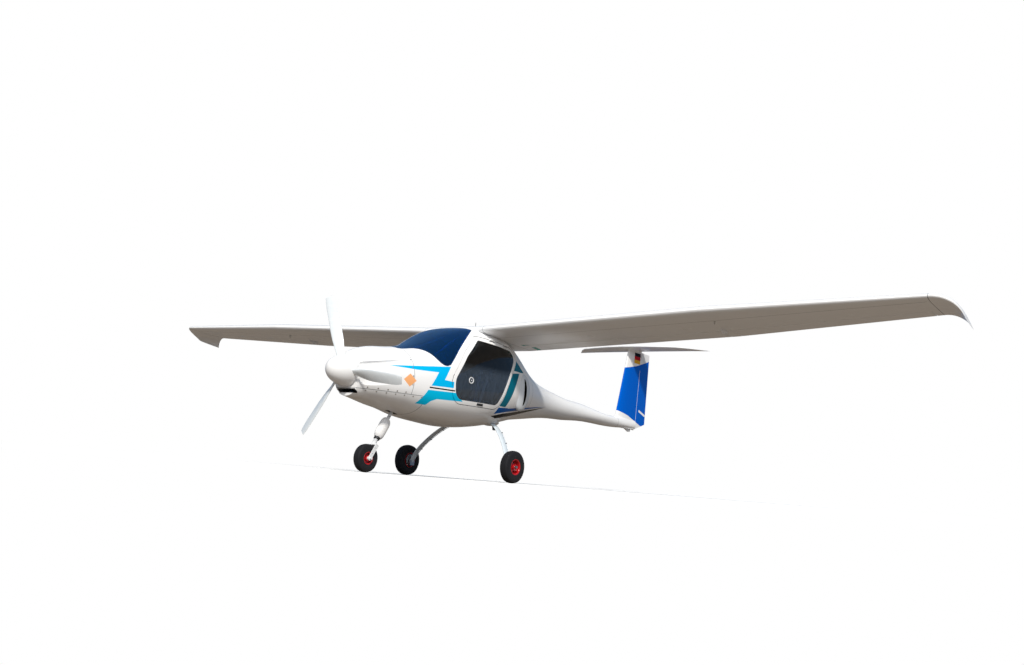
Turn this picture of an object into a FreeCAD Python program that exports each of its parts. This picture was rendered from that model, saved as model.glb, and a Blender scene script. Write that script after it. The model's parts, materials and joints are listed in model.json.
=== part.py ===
import FreeCAD, Part
import Sketcher
import math
import os
from FreeCAD import Placement, Rotation, Vector

# A two-seat high-wing light aircraft with a T-tail and a tricycle undercarriage, in millimetres.
# +X is the aircraft's left wing, +Y runs aft from the propeller, +Z is up and the ground is at zero.
# Stations are measured aft from the tip of the spinner, and each piece's placement centres the length.

doc = FreeCAD.newDocument("UltralightAircraft")
sheet = doc.addObject("Spreadsheet::Sheet", "Sizes")

SIZES = [
    # the whole aircraft
    ("overall_length", 6504),
    ("wing_span", 10710),
    ("thrust_line_height", 1004),
    ("moving_gap", 6),
    ("pin_clearance", 0.3),
    ("cut_overrun", 400),
    # fuselage
    ("cowl_front", 270),
    ("fuselage_length", 5850),
    ("belly_height", 568),
    ("cabin_height", 1132),
    ("cabin_width", 1120),
    ("cabin_wall", 18),
    ("boom_wall", 7),
    ("boom_wall_start", 2900),
    ("firewall_station", 1040),
    ("firewall_step", 190),
    ("firewall_shelf_height", 1095),
    ("firewall_thickness", 20),
    # cowling
    ("cowl_wall", 8),
    ("cowl_split_height", 830),
    ("inlet_width", 270),
    ("inlet_height", 44),
    ("inlet_centre_height", 802),
    ("gear_slot_start", 885),
    ("gear_slot_length", 150),
    ("gear_slot_width", 56),
    ("cowl_groove_size", 50),
    ("shaft_hole_radius", 45),
    # glazing and doors
    ("glass_thickness", 5),
    ("windshield_base", 800),
    ("windshield_base_height", 1335),
    ("window_front", 1375),
    ("window_length", 1030),
    ("window_sill", 845),
    ("window_height", 690),
    ("door_frame_width", 44),
    ("door_hinge_front", 1960),
    ("door_hinge_spacing", 240),
    ("door_hinge_proud", 10),
    ("door_pin_radius", 4),
    ("door_knuckle_radius", 14),
    ("door_knuckle_length", 40),
    # side scoops
    ("scoop_station", 2625),
    ("scoop_centre_height", 1052),
    ("scoop_length", 250),
    ("scoop_height", 440),
    ("scoop_depth", 90),
    ("scoop_slot_width", 34),
    ("scoop_slot_height", 310),
    # wing
    ("wing_front", 1852),
    ("wing_root_height", 1664),
    ("wing_root_chord", 989),
    ("wing_washdown", 105),
    ("wing_dihedral_rise", 241),
    ("wing_root_station", 420),
    ("wing_kink_station", 3070),
    ("wing_tip_joint", 5130),
    ("wing_tip_sweep", 189),
    ("wing_tip_chord", 564),
    ("wing_skin", 4),
    ("tip_droop", 150),
    ("flap_start", 520),
    ("flap_end", 2985),
    ("aileron_start", 3085),
    ("aileron_end", 5060),
    ("hinge_lug_thickness", 8),
    ("hinge_lug_radius", 11),
    ("hinge_pin_radius", 4),
    ("hinge_embed", 7),
    # tail
    ("fin_root_station", 5598),
    ("fin_root_height", 1040),
    ("fin_root_chord", 862),
    ("fin_height", 1022),
    ("fin_sweep", 272),
    ("fin_tip_chord", 634),
    ("fin_skin", 4),
    ("fin_start_height", 900),
    ("rudder_foot_rise", 110),
    ("tailplane_span", 2180),
    ("tailplane_station", 5716),
    ("tailplane_chord", 534),
    ("tailplane_base_height", 2049),
    ("tailplane_thickness_share", 0.098),
    ("elevator_hinge_station", 6092),
    ("elevator_inner", 78),
    ("elevator_outer", 800),
    ("elevator_nose_radius", 13.5),
    ("torque_tube_radius", 8),
    # propeller and motor
    ("spinner_length", 262),
    ("spinner_radius", 163),
    ("propeller_radius", 820),
    ("propeller_station", 200),
    ("propeller_rest_angle", 23),
    ("blade_chord", 122),
    ("hub_radius", 75),
    ("hub_length", 90),
    ("shaft_radius", 28),
    ("shaft_engagement", 60),
    ("motor_radius", 134),
    ("motor_length", 120),
    ("motor_station", 330),
    ("battery_width", 380),
    ("battery_length", 300),
    ("battery_height", 210),
    ("axle_end_gap", 1),
    ("battery_front_base", 790),
    ("battery_rear_gap", 30),
    ("battery_rear_base", 785),
    ("motor_plate_thickness", 10),
    ("motor_rod_radius", 9),
    # undercarriage
    ("main_track", 1554),
    ("main_axle_station", 2138),
    ("main_tyre_radius", 178),
    ("main_tyre_width", 105),
    ("main_rim_radius", 84),
    ("main_rim_width", 84),
    ("nose_axle_station", 643),
    ("nose_tyre_radius", 146),
    ("nose_tyre_width", 92),
    ("nose_rim_radius", 62),
    ("nose_rim_width", 74),
    ("axle_radius", 12),
    ("wheel_boss_radius", 30),
    ("wheel_web_thickness", 12),
    ("wheel_rim_thickness", 8),
    ("wheel_hole_count", 5),
    ("wheel_hole_share", 0.3),
    ("tyre_shoulder_share", 0.42),
    ("leg_chord", 82),
    ("leg_thickness", 24),
    ("leg_root_offset", 300),
    ("leg_root_station", 2355),
    ("leg_root_height", 650),
    ("leg_foot_clearance", 10),
    ("leg_cover_length", 260),
    ("leg_cover_width", 140),
    ("leg_cover_depth", 24),
    ("steering_rake", 32.5),
    ("nose_leg_radius", 18),
    ("nose_leg_top", 700),
    ("nose_leg_bottom", 300),
    ("nose_fairing_bottom", 262),
    ("nose_fairing_top", 500),
    ("nose_fairing_width", 84),
    ("nose_fairing_length", 128),
    ("fork_plate_thickness", 8),
    ("fork_plate_width", 44),
    ("tow_pin_length", 24),
    # cabin
    ("floor_height", 655),
    ("bulkhead_station", 2420),
    ("bulkhead_thickness", 14),
    ("panel_station", 1200),
    ("panel_base_height", 985),
    ("panel_top_height", 1235),
    ("panel_thickness", 55),
    ("shield_length", 210),
    ("shield_thickness", 16),
    ("seat_width", 440),
    ("seat_offset", 245),
    ("seat_front", 1610),
    ("seat_cushion_length", 470),
    ("seat_cushion_height", 120),
    ("seat_back_height", 640),
    ("seat_back_thickness", 90),
    ("seat_back_lean", 170),
    ("stick_station", 1560),
    ("stick_height", 360),
    ("stick_radius", 11),
    ("grip_radius", 19),
    ("grip_length", 120),
    ("console_width", 46),
    ("console_length", 330),
    ("console_height", 150),
    ("pedal_station", 1170),
    ("pedal_offset", 165),
    ("pedal_width", 70),
    ("pedal_height", 130),
    # small outside pieces
    ("antenna_tip_share", 0.85),
    ("antenna_notch_share", 0.5),
    ("bumper_tip_share", 0.95),
    ("bumper_heel_share", 0.7),
    ("antenna_belly_station", 2690),
    ("antenna_belly_length", 120),
    ("antenna_belly_depth", 100),
    ("antenna_belly_thickness", 9),
    ("antenna_roof_station", 2260),
    ("antenna_roof_height", 150),
    ("antenna_roof_radius", 3),
    ("bumper_station", 5850),
    ("bumper_length", 190),
    ("bumper_depth", 46),
    ("bumper_thickness", 20),
    ("horn_offset", 3035),
    ("horn_length", 300),
    ("horn_depth", 46),
    ("horn_thickness", 16),
]

ALIASES = {alias for alias, value in SIZES}
for number, (alias, value) in enumerate(SIZES, start=1):
    sheet.set("A%d" % number, alias)
    sheet.set("B%d" % number, str(value))
    sheet.setAlias("B%d" % number, alias)
doc.recompute()


def mm(alias):
    """A driving size, read from the sheet."""
    return float(sheet.get(alias))


def piece(label, shape):
    """A sub-part whose shape is made by hand, placed so that the aircraft's length is centred."""
    part = doc.addObject("Part::Feature", label)
    part.Label = label
    part.Shape = shape
    centre_length(part)
    return part


def centre_length(part):
    part.setExpression("Placement.Base.y", "-Sizes.overall_length / 2")


def mirrored(label, source):
    """The right-hand twin of a left-hand piece."""
    twin = doc.addObject("Part::Mirroring", label)
    twin.Label = label
    twin.Source = source
    twin.Normal = Vector(1, 0, 0)
    return twin


def primitive(kind, label, **expressions):
    """A Part primitive whose properties are bound to the sheet."""
    part = doc.addObject("Part::" + kind, label)
    part.Label = label
    for name, expression in expressions.items():
        part.setExpression(name.replace("__", "."), expression)
    return part


def box(low, high):
    """A box between two corners."""
    size = high - low
    return Part.makeBox(size.x, size.y, size.z, low)


def spline(points):
    curve = Part.BSplineCurve()
    curve.interpolate(Points=points)
    return curve.toShape()


# Fuselage: smooth closed sections from the cowling's front ring to the end of the tail boom.
# Each row is the share of the fuselage's length, the share of the half width, then the shares of the
# cabin's height above the belly for top, bottom and widest point, then the fullness above and below it.
FUSELAGE_SECTION_SHARES = [
    (0.000, 0.330, 0.563, 0.160, 0.382, 2.0, 2.2),
    (0.014, 0.429, 0.598, 0.150, 0.373, 2.0, 2.2),
    (0.039, 0.536, 0.636, 0.132, 0.364, 2.0, 2.3),
    (0.082, 0.652, 0.666, 0.099, 0.364, 2.1, 2.4),
    (0.125, 0.750, 0.715, 0.064, 0.373, 2.2, 2.5),
    (0.168, 0.848, 0.807, 0.031, 0.382, 2.4, 2.6),
    (0.219, 0.946, 0.934, 0.011, 0.408, 2.8, 2.6),
    (0.270, 0.991, 1.000, 0.000, 0.435, 3.4, 2.6),
    (0.321, 1.000, 1.004, 0.027, 0.452, 3.6, 2.5),
    (0.381, 0.929, 0.960, 0.077, 0.461, 2.8, 2.3),
    (0.441, 0.786, 0.841, 0.143, 0.461, 2.0, 2.1),
    (0.492, 0.616, 0.708, 0.183, 0.443, 1.9, 2.0),
    (0.552, 0.437, 0.611, 0.223, 0.417, 2.0, 2.0),
    (0.621, 0.321, 0.552, 0.255, 0.399, 2.0, 2.0),
    (0.706, 0.254, 0.503, 0.273, 0.382, 2.0, 2.0),
    (0.809, 0.202, 0.451, 0.284, 0.367, 2.0, 2.0),
    (0.911, 0.152, 0.424, 0.283, 0.352, 2.0, 2.0),
    (1.000, 0.089, 0.417, 0.284, 0.351, 2.0, 2.0),
]
SECTION_POINT_COUNT = 24


def fuselage_section(row, inset):
    """One closed superellipse section of the fuselage, moved inwards by inset."""
    along, width, top, bottom, widest, fullness_above, fullness_below = row
    station = mm("cowl_front") + along * mm("fuselage_length")
    half_width = width * mm("cabin_width") / 2 - inset
    middle = mm("belly_height") + widest * mm("cabin_height")
    rise = (top - widest) * mm("cabin_height") - inset
    fall = (widest - bottom) * mm("cabin_height") - inset
    points = []
    for number in range(SECTION_POINT_COUNT):
        turn = 2 * math.pi * number / SECTION_POINT_COUNT - math.pi / 2
        across, up = math.cos(turn), math.sin(turn)
        fullness = fullness_above if up >= 0 else fullness_below
        reach = rise if up >= 0 else fall
        points.append(Vector(
            half_width * math.copysign(abs(across) ** (2 / fullness), across),
            station,
            middle + reach * math.copysign(abs(up) ** (2 / fullness), up),
        ))
    curve = Part.BSplineCurve()
    curve.interpolate(Points=points, PeriodicFlag=True,
                      Parameters=[float(number) for number in range(SECTION_POINT_COUNT + 1)])
    return Part.Wire([curve.toShape()])


def fuselage_loft(inset, rows=FUSELAGE_SECTION_SHARES):
    return Part.makeLoft([fuselage_section(row, inset) for row in rows], True, False)


reach = mm("overall_length")
fuselage_outside = fuselage_loft(0)
cabin_inside = fuselage_loft(mm("cabin_wall"))
cowl_inside = fuselage_loft(mm("cowl_wall"))
glass_inside = fuselage_loft(mm("glass_thickness"))
boom_inside = fuselage_loft(mm("boom_wall"))


def slab(front, back, low=0.0, high=None):
    """A wide box between two stations and two heights, used to pick a length of the fuselage."""
    top = reach if high is None else high
    return box(Vector(-reach, front, low), Vector(reach, back, top))


# Wing: straight lofts of one cambered section, with a flat centre over the cabin.
AIRFOIL_THICKNESS_SHARE = 0.128
AIRFOIL_CAMBER_SHARE = 0.028
AIRFOIL_CAMBER_PLACE_SHARE = 0.42
TRAILING_EDGE_SHARE = 0.004
AIRFOIL_POINT_COUNT = 14
WING_HINGE_SHARE = 0.72


def airfoil_heights(along, thickness, camber):
    """Height of the upper and lower skin above the chord, as shares of the chord."""
    half = 5 * thickness * (0.2969 * math.sqrt(along) - 0.1260 * along - 0.3516 * along ** 2
                            + 0.2843 * along ** 3 - 0.1036 * along ** 4)
    half += TRAILING_EDGE_SHARE / 2 * along
    place = AIRFOIL_CAMBER_PLACE_SHARE
    if along < place:
        middle = camber / place ** 2 * (2 * place * along - along ** 2)
    else:
        middle = camber / (1 - place) ** 2 * (1 - 2 * place + 2 * place * along - along ** 2)
    return middle + half, middle - half


def airfoil_wire(front, back, up, thickness, camber, start=0.0, end=1.0, inset=0.0):
    """A closed wing section from share start to share end of the chord, its skin moved in by inset."""
    chord = back - front
    length = chord.Length
    rise = (up - chord * (up.dot(chord) / length ** 2)).normalize()
    shares = []
    for number in range(AIRFOIL_POINT_COUNT + 1):
        shares.append(start + (end - start) * (1 - math.cos(math.pi * number / AIRFOIL_POINT_COUNT)) / 2)
    upper, lower = [], []
    for along in shares:
        high, low = airfoil_heights(along, thickness, camber)
        upper.append(front + chord * along + rise * (high * length - inset))
        lower.append(front + chord * along + rise * (low * length + inset))
    if start == 0.0:
        lower[0] = upper[0]
    edges = [spline(upper), Part.makeLine(upper[-1], lower[-1]), spline(list(reversed(lower)))]
    if start > 0.0:
        edges.append(Part.makeLine(lower[0], upper[0]))
    return Part.Wire(edges)


def wing_edges(offset):
    """Leading and trailing edge of the wing at a distance out from the centreline."""
    kink = mm("wing_kink_station")
    half_span = mm("wing_span") / 2
    rise = mm("wing_dihedral_rise") * max(offset, mm("wing_root_station")) / half_span
    taper = max(0.0, (offset - kink) / (half_span - kink))
    front = mm("wing_front") + taper * mm("wing_tip_sweep")
    chord = mm("wing_root_chord") + taper * (mm("wing_tip_chord") - mm("wing_root_chord"))
    drop = mm("wing_washdown") * chord / mm("wing_root_chord")
    height = mm("wing_root_height") + rise
    tilt = taper * (mm("wing_washdown") - drop) / 2
    return Vector(offset, front, height - tilt), Vector(offset, front + chord, height - tilt - drop)


def wing_wire(offset, start=0.0, end=1.0, inset=0.0):
    front, back = wing_edges(abs(offset))
    front.x = back.x = offset
    return airfoil_wire(front, back, Vector(0, 0, 1), AIRFOIL_THICKNESS_SHARE,
                        AIRFOIL_CAMBER_SHARE, start, end, inset)


def wing_loft(offsets, start=0.0, end=1.0, inset=0.0):
    return Part.makeLoft([wing_wire(offset, start, end, inset) for offset in offsets], True, True)


def wing_middle(offset, share):
    """The point halfway between the skins at a share of the chord, and half the depth there."""
    front, back = wing_edges(offset)
    chord = back - front
    high, low = airfoil_heights(share, AIRFOIL_THICKNESS_SHARE, AIRFOIL_CAMBER_SHARE)
    rise = Vector(0, -chord.z, chord.y).normalize()
    middle = front + chord * share + rise * ((high + low) / 2 * chord.Length)
    return middle, (high - low) / 2 * chord.Length


def hinge_frame(start, end, aft):
    """A placement at start whose first axis is the hinge line and whose second points aft."""
    along = (end - start).normalize()
    up = along.cross(aft).normalize()
    return Placement(start, Rotation(along, up.cross(along), up, "XYZ"))


def placed(shape, frame):
    """The shape moved to a frame, with its own placement left at the origin."""
    return shape.transformed(frame.toMatrix(), True)


def hinge_lug(frame, place, radius):
    """A plate from the cove's wall to the hinge pin, with the pin's hole in it."""
    half = mm("hinge_lug_thickness") / 2
    lug = mm("hinge_lug_radius")
    root = radius + mm("moving_gap") + mm("hinge_embed")
    plate = box(Vector(place - half, -root, -lug), Vector(place + half, 0, lug))
    eye = Part.makeCylinder(lug, 2 * half, Vector(place - half, 0, 0), Vector(1, 0, 0))
    hole = Part.makeCylinder(mm("hinge_pin_radius") + mm("pin_clearance"), 4 * half,
                             Vector(place - 2 * half, 0, 0), Vector(1, 0, 0))
    return placed(plate.fuse(eye).cut(hole), frame)


def hinge_slot(frame, place, radius):
    """The room that a moving surface's nose leaves for a lug."""
    half = mm("hinge_lug_thickness") / 2 + mm("moving_gap")
    nose = radius + mm("moving_gap")
    room = mm("hinge_lug_radius") + mm("moving_gap")
    front = box(Vector(place - half, -nose, -nose), Vector(place + half, 0, nose))
    back = Part.makeCylinder(room, 2 * half, Vector(place - half, 0, 0), Vector(1, 0, 0))
    return placed(front.fuse(back), frame)


def hinge_pin(frame, place):
    half = mm("hinge_lug_thickness") / 2 + mm("moving_gap") + mm("hinge_embed")
    return placed(Part.makeCylinder(mm("hinge_pin_radius"), 2 * half, Vector(place - half, 0, 0),
                                    Vector(1, 0, 0)), frame)


def tapered_rod(first_radius, last_radius, start, end, frame):
    """A round rod along the hinge line, straight or conical."""
    axis, base = Vector(1, 0, 0), Vector(start, 0, 0)
    if abs(first_radius - last_radius) < mm("pin_clearance"):
        return placed(Part.makeCylinder(first_radius, end - start, base, axis), frame)
    return placed(Part.makeCone(first_radius, last_radius, end - start, base, axis), frame)


def split_surface(carrier, frame, length, first_radius, last_radius, lug_shares, hollow=None):
    """Cut a control surface free of what carries it, with a round nose in a cove and pinned lugs."""
    gap = mm("moving_gap")
    deep = mm("cut_overrun")
    slope = (last_radius - first_radius) / length
    behind = placed(box(Vector(gap, 0, -deep), Vector(length - gap, 2 * deep, deep)), frame)
    nose = tapered_rod(first_radius + slope * gap, last_radius - slope * gap, gap, length - gap, frame)
    surface = carrier.common(behind)
    if hollow is not None:
        surface = surface.cut(hollow)
    surface = surface.fuse(nose)
    bay = placed(box(Vector(0, 0, -deep), Vector(length, 2 * deep, deep)), frame)
    cove = tapered_rod(first_radius + gap, last_radius + gap, 0, length, frame)
    carrier = carrier.cut(bay).cut(cove)
    for share in lug_shares:
        place = share * length
        radius = first_radius + slope * place
        surface = surface.cut(hinge_slot(frame, place, radius)).fuse(hinge_pin(frame, place))
        carrier = carrier.fuse(hinge_lug(frame, place, radius))
    return carrier, surface


def report_hinge(name, frame):
    """Print a hinge line in the finished aircraft's own frame, in metres."""
    base = frame.Base - Vector(0, mm("overall_length") / 2, 0)
    axis = frame.Rotation.multVec(Vector(1, 0, 0))
    print("hinge %s at (%.5f, %.5f, %.5f) along (%.6f, %.6f, %.6f)"
          % (name, base.x / 1000, base.y / 1000, base.z / 1000, axis.x, axis.y, axis.z))


root = mm("wing_root_station")
kink = mm("wing_kink_station")
tip_joint = mm("wing_tip_joint")
NOSE_FIT_SHARE = 0.96
SURFACE_LUG_SHARES = (0.08, 0.5, 0.92)
CENTRE_VOID_SHARES = (0.05, 0.9)
WING_VOID_SHARES = (0.05, 0.63)
SURFACE_VOID_SHARES = (0.775, 0.95)

centre_volume = wing_loft([-root, root])
wing_volume = wing_loft([root, kink, tip_joint])


def wing_surface(carrier, start, end, name):
    """One flap or aileron between two distances from the centreline."""
    first, first_radius = wing_middle(start, WING_HINGE_SHARE)
    last, last_radius = wing_middle(end, WING_HINGE_SHARE)
    frame = hinge_frame(first, last, Vector(0, 1, 0))
    skin = mm("wing_skin")
    margin = 3 * mm("moving_gap")
    hollow = wing_loft([start + margin, end - margin], SURFACE_VOID_SHARES[0], SURFACE_VOID_SHARES[1],
                       skin)
    report_hinge(name, frame)
    return split_surface(carrier, frame, (last - first).Length, NOSE_FIT_SHARE * first_radius,
                         NOSE_FIT_SHARE * last_radius, SURFACE_LUG_SHARES, hollow)


def make_wing():
    skin = mm("wing_skin")
    carrier = wing_volume
    carrier, flap = wing_surface(carrier, mm("flap_start"), mm("flap_end"), "flap_left")
    carrier, aileron = wing_surface(carrier, mm("aileron_start"), mm("aileron_end"), "aileron_left")
    void = wing_loft([root + 2 * skin, kink, tip_joint - 2 * skin], WING_VOID_SHARES[0],
                     WING_VOID_SHARES[1], skin)
    return carrier.cut(void), flap, aileron


# Wing tip: the section shrinks, sweeps back and droops to a point behind the trailing edge.
# Each row is the share of the tip's length, then shares of the tip chord for how far the leading edge
# has moved back and the chord that is left, the shares of the droop for the leading and the trailing
# edge, and the share of the wing's thickness and camber that is left.
TIP_SECTION_SHARES = [
    (0.00, 0.000, 1.000, 0.00, 0.00, 1.00),
    (0.40, 0.040, 0.990, 0.03, 0.06, 0.97),
    (0.75, 0.200, 0.880, 0.18, 0.35, 0.84),
    (1.00, 0.720, 0.460, 1.00, 1.00, 0.55),
]


def make_wing_tip():
    tip_chord = wing_edges(tip_joint)[1] - wing_edges(tip_joint)[0]
    length = mm("wing_span") / 2 - tip_joint
    wires = []
    for along, sweep, left, front_droop, back_droop, fullness in TIP_SECTION_SHARES:
        edge_front, edge_back = wing_edges(tip_joint + along * length)
        start = edge_front + (edge_back - edge_front) * sweep
        finish = start + (edge_back - edge_front) * left
        finish.y = start.y + tip_chord.y * left
        start.z -= front_droop * mm("tip_droop")
        finish.z -= back_droop * mm("tip_droop")
        wires.append(airfoil_wire(start, finish, Vector(0, 0, 1), fullness * AIRFOIL_THICKNESS_SHARE,
                                  fullness * AIRFOIL_CAMBER_SHARE))
    room = box(Vector(tip_joint, 0, 0), Vector(mm("wing_span") / 2, reach, reach))
    return Part.makeLoft(wires, True, False).common(room)


# Cabin glazing and doors are cut from one skin by prisms whose outlines are drawn in side view.
WINDOW_CORNER_SHARES = [
    # share of the window's length, share of its height, corner radius as a share of its height
    (0.359, 1.000, 0.060),
    (1.000, 0.923, 0.130),
    (0.691, 0.000, 0.110),
    (0.029, 0.000, 0.170),
    (0.000, 0.297, 0.240),
    (0.170, 0.710, 0.600),
]


def rounded_outline(corners):
    """A closed side-view outline with a tangent arc at each corner; corners are (point, radius)."""
    edges = []
    count = len(corners)
    ends = []
    for number, (point, radius) in enumerate(corners):
        before = (corners[number - 1][0] - point).normalize()
        after = (corners[(number + 1) % count][0] - point).normalize()
        half_turn = math.acos(before.dot(after)) / 2
        setback = radius / math.tan(half_turn)
        bisector = (before + after).normalize()
        centre = point + bisector * (radius / math.sin(half_turn))
        first, last = point + before * setback, point + after * setback
        ends.append((first, centre - bisector * radius, last))
    for number, (first, middle, last) in enumerate(ends):
        edges.append(Part.Arc(first, middle, last).toShape())
        edges.append(Part.makeLine(last, ends[(number + 1) % count][0]))
    return Part.Wire(edges)


def window_outline():
    length, height = mm("window_length"), mm("window_height")
    corners = []
    for along, up, radius in WINDOW_CORNER_SHARES:
        point = Vector(0, mm("window_front") + along * length, mm("window_sill") + up * height)
        corners.append((point, radius * height))
    return rounded_outline(corners)


def side_prism(outline, start, end):
    """Extrude a side-view outline from one distance off the centreline to another."""
    face = Part.Face(outline)
    face.translate(Vector(start, 0, 0))
    return face.extrude(Vector(end - start, 0, 0))


WINDSHIELD_EDGE_SHARES = [
    # shares of the cabin's length ahead of the wing and of the height from the base to the roof: first
    # the base, which dips down each side, then the pillar up to the wing
    (0.014, -0.063),
    (0.076, -0.055),
    (0.190, -0.003),
    (0.247, -0.025),
    (0.304, -0.132),
    (0.352, -0.293),
    (0.404, -0.403),
    (0.456, -0.416),
]
PILLAR_EDGE_SHARES = [
    (0.490, -0.370),
    (0.523, -0.247),
    (0.643, 0.186),
    (0.767, 0.537),
    (0.867, 0.756),
    (0.940, 0.880),
]
WINDSHIELD_TOP_SHARE = 0.957


def windshield_prism():
    base, height = mm("windshield_base"), mm("windshield_base_height")
    ahead = mm("wing_front") - base
    rise = mm("belly_height") + mm("cabin_height") - height

    def edge(shares):
        return [Vector(0, base + along * ahead, height + up * rise) for along, up in shares]

    low_edge, pillar = edge(WINDSHIELD_EDGE_SHARES), edge(PILLAR_EDGE_SHARES)
    front = Vector(0, base, height + rise + mm("cut_overrun"))
    front_foot = Vector(0, base, low_edge[0].z + low_edge[0].y - base)
    roof_edge = Vector(0, base + WINDSHIELD_TOP_SHARE * ahead, front.z)
    outline = Part.Wire([
        Part.makeLine(front, front_foot),
        Part.makeLine(front_foot, low_edge[0]),
        spline(low_edge),
        Part.makeLine(low_edge[-1], pillar[0]),
        spline(pillar),
        Part.makeLine(pillar[-1], roof_edge),
        Part.makeLine(roof_edge, front),
    ])
    return side_prism(outline, -mm("cabin_width"), mm("cabin_width"))


def door_hinge_line():
    """The hinge line: just outside the skin, halfway across the gap over the door."""
    front, spacing = mm("door_hinge_front"), mm("door_hinge_spacing")
    corners = WINDOW_CORNER_SHARES[0], WINDOW_CORNER_SHARES[1]
    points = []
    for station in (front, front + spacing):
        along = (station - mm("window_front")) / mm("window_length")
        between = (along - corners[0][0]) / (corners[1][0] - corners[0][0])
        up = corners[0][1] + between * (corners[1][1] - corners[0][1])
        height = mm("window_sill") + up * mm("window_height") + mm("door_frame_width") + mm("moving_gap") / 2
        points.append(Vector(side_offset(station, height) + mm("door_hinge_proud"), station, height))
    return points


def door_hinge_parts():
    """Door knuckles, pinned eyes for the roof strip, and the room that each needs in the other part."""
    first, last = door_hinge_line()
    frame = hinge_frame(first, last, Vector(1, 0, 0))
    pin, radius, length = mm("door_pin_radius"), mm("door_knuckle_radius"), mm("door_knuckle_length")
    along = Vector(1, 0, 0)
    close = 3 * mm("pin_clearance")
    knuckles, eyes, knuckle_rooms, eye_rooms, bores = [], [], [], [], []
    for middle in (0.0, (last - first).Length):
        start = middle - length / 2
        knuckles.append(Part.makeCylinder(radius, length, Vector(start, 0, 0), along))
        knuckle_rooms.append(Part.makeCylinder(radius + mm("moving_gap"), length + 2 * close,
                                               Vector(start - close, 0, 0), along))
        bores.append(Part.makeCylinder(pin + mm("pin_clearance"), 2 * length,
                                       Vector(middle - length, 0, 0), along))
        rod = Part.makeCylinder(pin, 2 * length, Vector(middle - length, 0, 0), along)
        ends = []
        for side in (-1, 1):
            low = middle - length if side < 0 else middle + length / 2 + close
            wide = length / 2 - close
            ends.append(Part.makeCylinder(radius, wide, Vector(low, 0, 0), along))
            ahead_room = mm("moving_gap") if side < 0 else close
            eye_rooms.append(Part.makeCylinder(radius + mm("moving_gap"), wide + mm("moving_gap") + close,
                                               Vector(low - ahead_room, 0, 0), along))
        eyes.append(rod.multiFuse(ends))
    report_hinge("door_left", frame)
    return [[placed(shape, frame) for shape in group]
            for group in (knuckles, eyes, knuckle_rooms, eye_rooms, bores)]


# The cowling's sides carry a ledge level with the spinner, undercut by a groove, and a soft valley
# above the chin. Each row is the share of the cowling's length, the share of the cabin's height, and
# shares of the groove's size for the radius of the cut and for its depth.
LEDGE_GROOVE_SHARES = [
    (-0.05, 0.4360, 0.90, 0.80),
    (0.080, 0.4400, 0.90, 0.76),
    (0.250, 0.4680, 0.80, 0.60),
    (0.400, 0.4950, 0.68, 0.40),
    (0.560, 0.5270, 0.52, 0.20),
    (0.690, 0.5560, 0.40, -0.10),
]
CHIN_VALLEY_SHARES = [
    (-0.05, 0.2980, 2.80, 0.42),
    (0.080, 0.2980, 2.80, 0.38),
    (0.230, 0.2980, 2.80, 0.24),
    (0.380, 0.3000, 2.80, 0.06),
    (0.480, 0.3020, 2.80, -0.12),
]


def cowl_groove(rows, margin=0.0):
    """What a groove takes off the cowling's left side, made wider all round by margin."""
    length = mm("firewall_station") - mm("cowl_front")
    wires = []
    for along, up, radius_share, depth_share in rows:
        station = mm("cowl_front") + along * length
        height = mm("belly_height") + up * mm("cabin_height")
        radius, depth = radius_share * mm("cowl_groove_size"), depth_share * mm("cowl_groove_size")
        skin = side_offset(max(station, mm("cowl_front") + mm("cowl_wall")), height)
        centre = Vector(skin + radius - depth, station, height)
        wires.append(Part.Wire([Part.Circle(centre, Vector(0, 1, 0), radius + margin).toShape()]))
    return Part.makeLoft(wires, True, False)


def cowl_grooves(margin=0.0):
    cuts = []
    for rows in (LEDGE_GROOVE_SHARES, CHIN_VALLEY_SHARES):
        left = cowl_groove(rows, margin)
        cuts += [left, left.mirror(Vector(0, 0, 0), Vector(1, 0, 0))]
    return cuts


def make_cabin():
    """The fuselage shell with its openings, and what fills them."""
    aft = mm("cowl_front") + mm("fuselage_length")
    firewall = mm("firewall_station")
    step = firewall - mm("firewall_step")
    shelf = mm("firewall_shelf_height")
    plate = mm("firewall_thickness")
    split = mm("cowl_split_height")
    boom_start = mm("boom_wall_start")
    bay = slab(0, firewall, 0, shelf).fuse(slab(0, step))
    cabin = slab(firewall + plate, boom_start).fuse(slab(step + plate, boom_start, shelf + plate))
    boom = slab(boom_start, aft - 2 * mm("cabin_wall"))
    skin = fuselage_outside.cut(cabin_inside.common(cabin)).cut(boom_inside.common(boom))
    skin = skin.cut(cowl_inside.common(bay))
    cowl_room = slab(0, step, split).fuse(slab(0, firewall, 0, split))
    windshield_cut = windshield_prism()
    window = window_outline()
    door_edge = window.makeOffset2D(mm("door_frame_width"))
    opening_edge = window.makeOffset2D(mm("door_frame_width") + mm("moving_gap"))
    inner, outer = mm("cabin_width") / 8, mm("cabin_width")
    shell = skin.cut(windshield_cut).cut(cowl_room)
    for side in (-1, 1):
        shell = shell.cut(side_prism(opening_edge, side * inner, side * outer))
    door = skin.common(side_prism(door_edge, inner, outer)).cut(side_prism(window, inner, outer))
    glass_skin = fuselage_outside.cut(glass_inside)
    windshield = glass_skin.common(windshield_cut).common(slab(0, mm("wing_front")))
    door_window = glass_skin.common(side_prism(window, inner, outer))
    cowl_room_inside = cowl_inside.cut(cowl_grooves(mm("cowl_wall")))
    cowl_skin = fuselage_outside.cut(cowl_grooves())
    cowl_skin = cowl_skin.cut(cowl_room_inside.common(slab(mm("cowl_front") + mm("cowl_wall"), aft)))
    cowl_upper = cowl_skin.common(slab(0, step, split)).cut(windshield_cut)
    cowl_lower = cowl_skin.common(slab(0, firewall, 0, split))
    return shell, door, windshield, door_window, cowl_upper, cowl_lower


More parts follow.
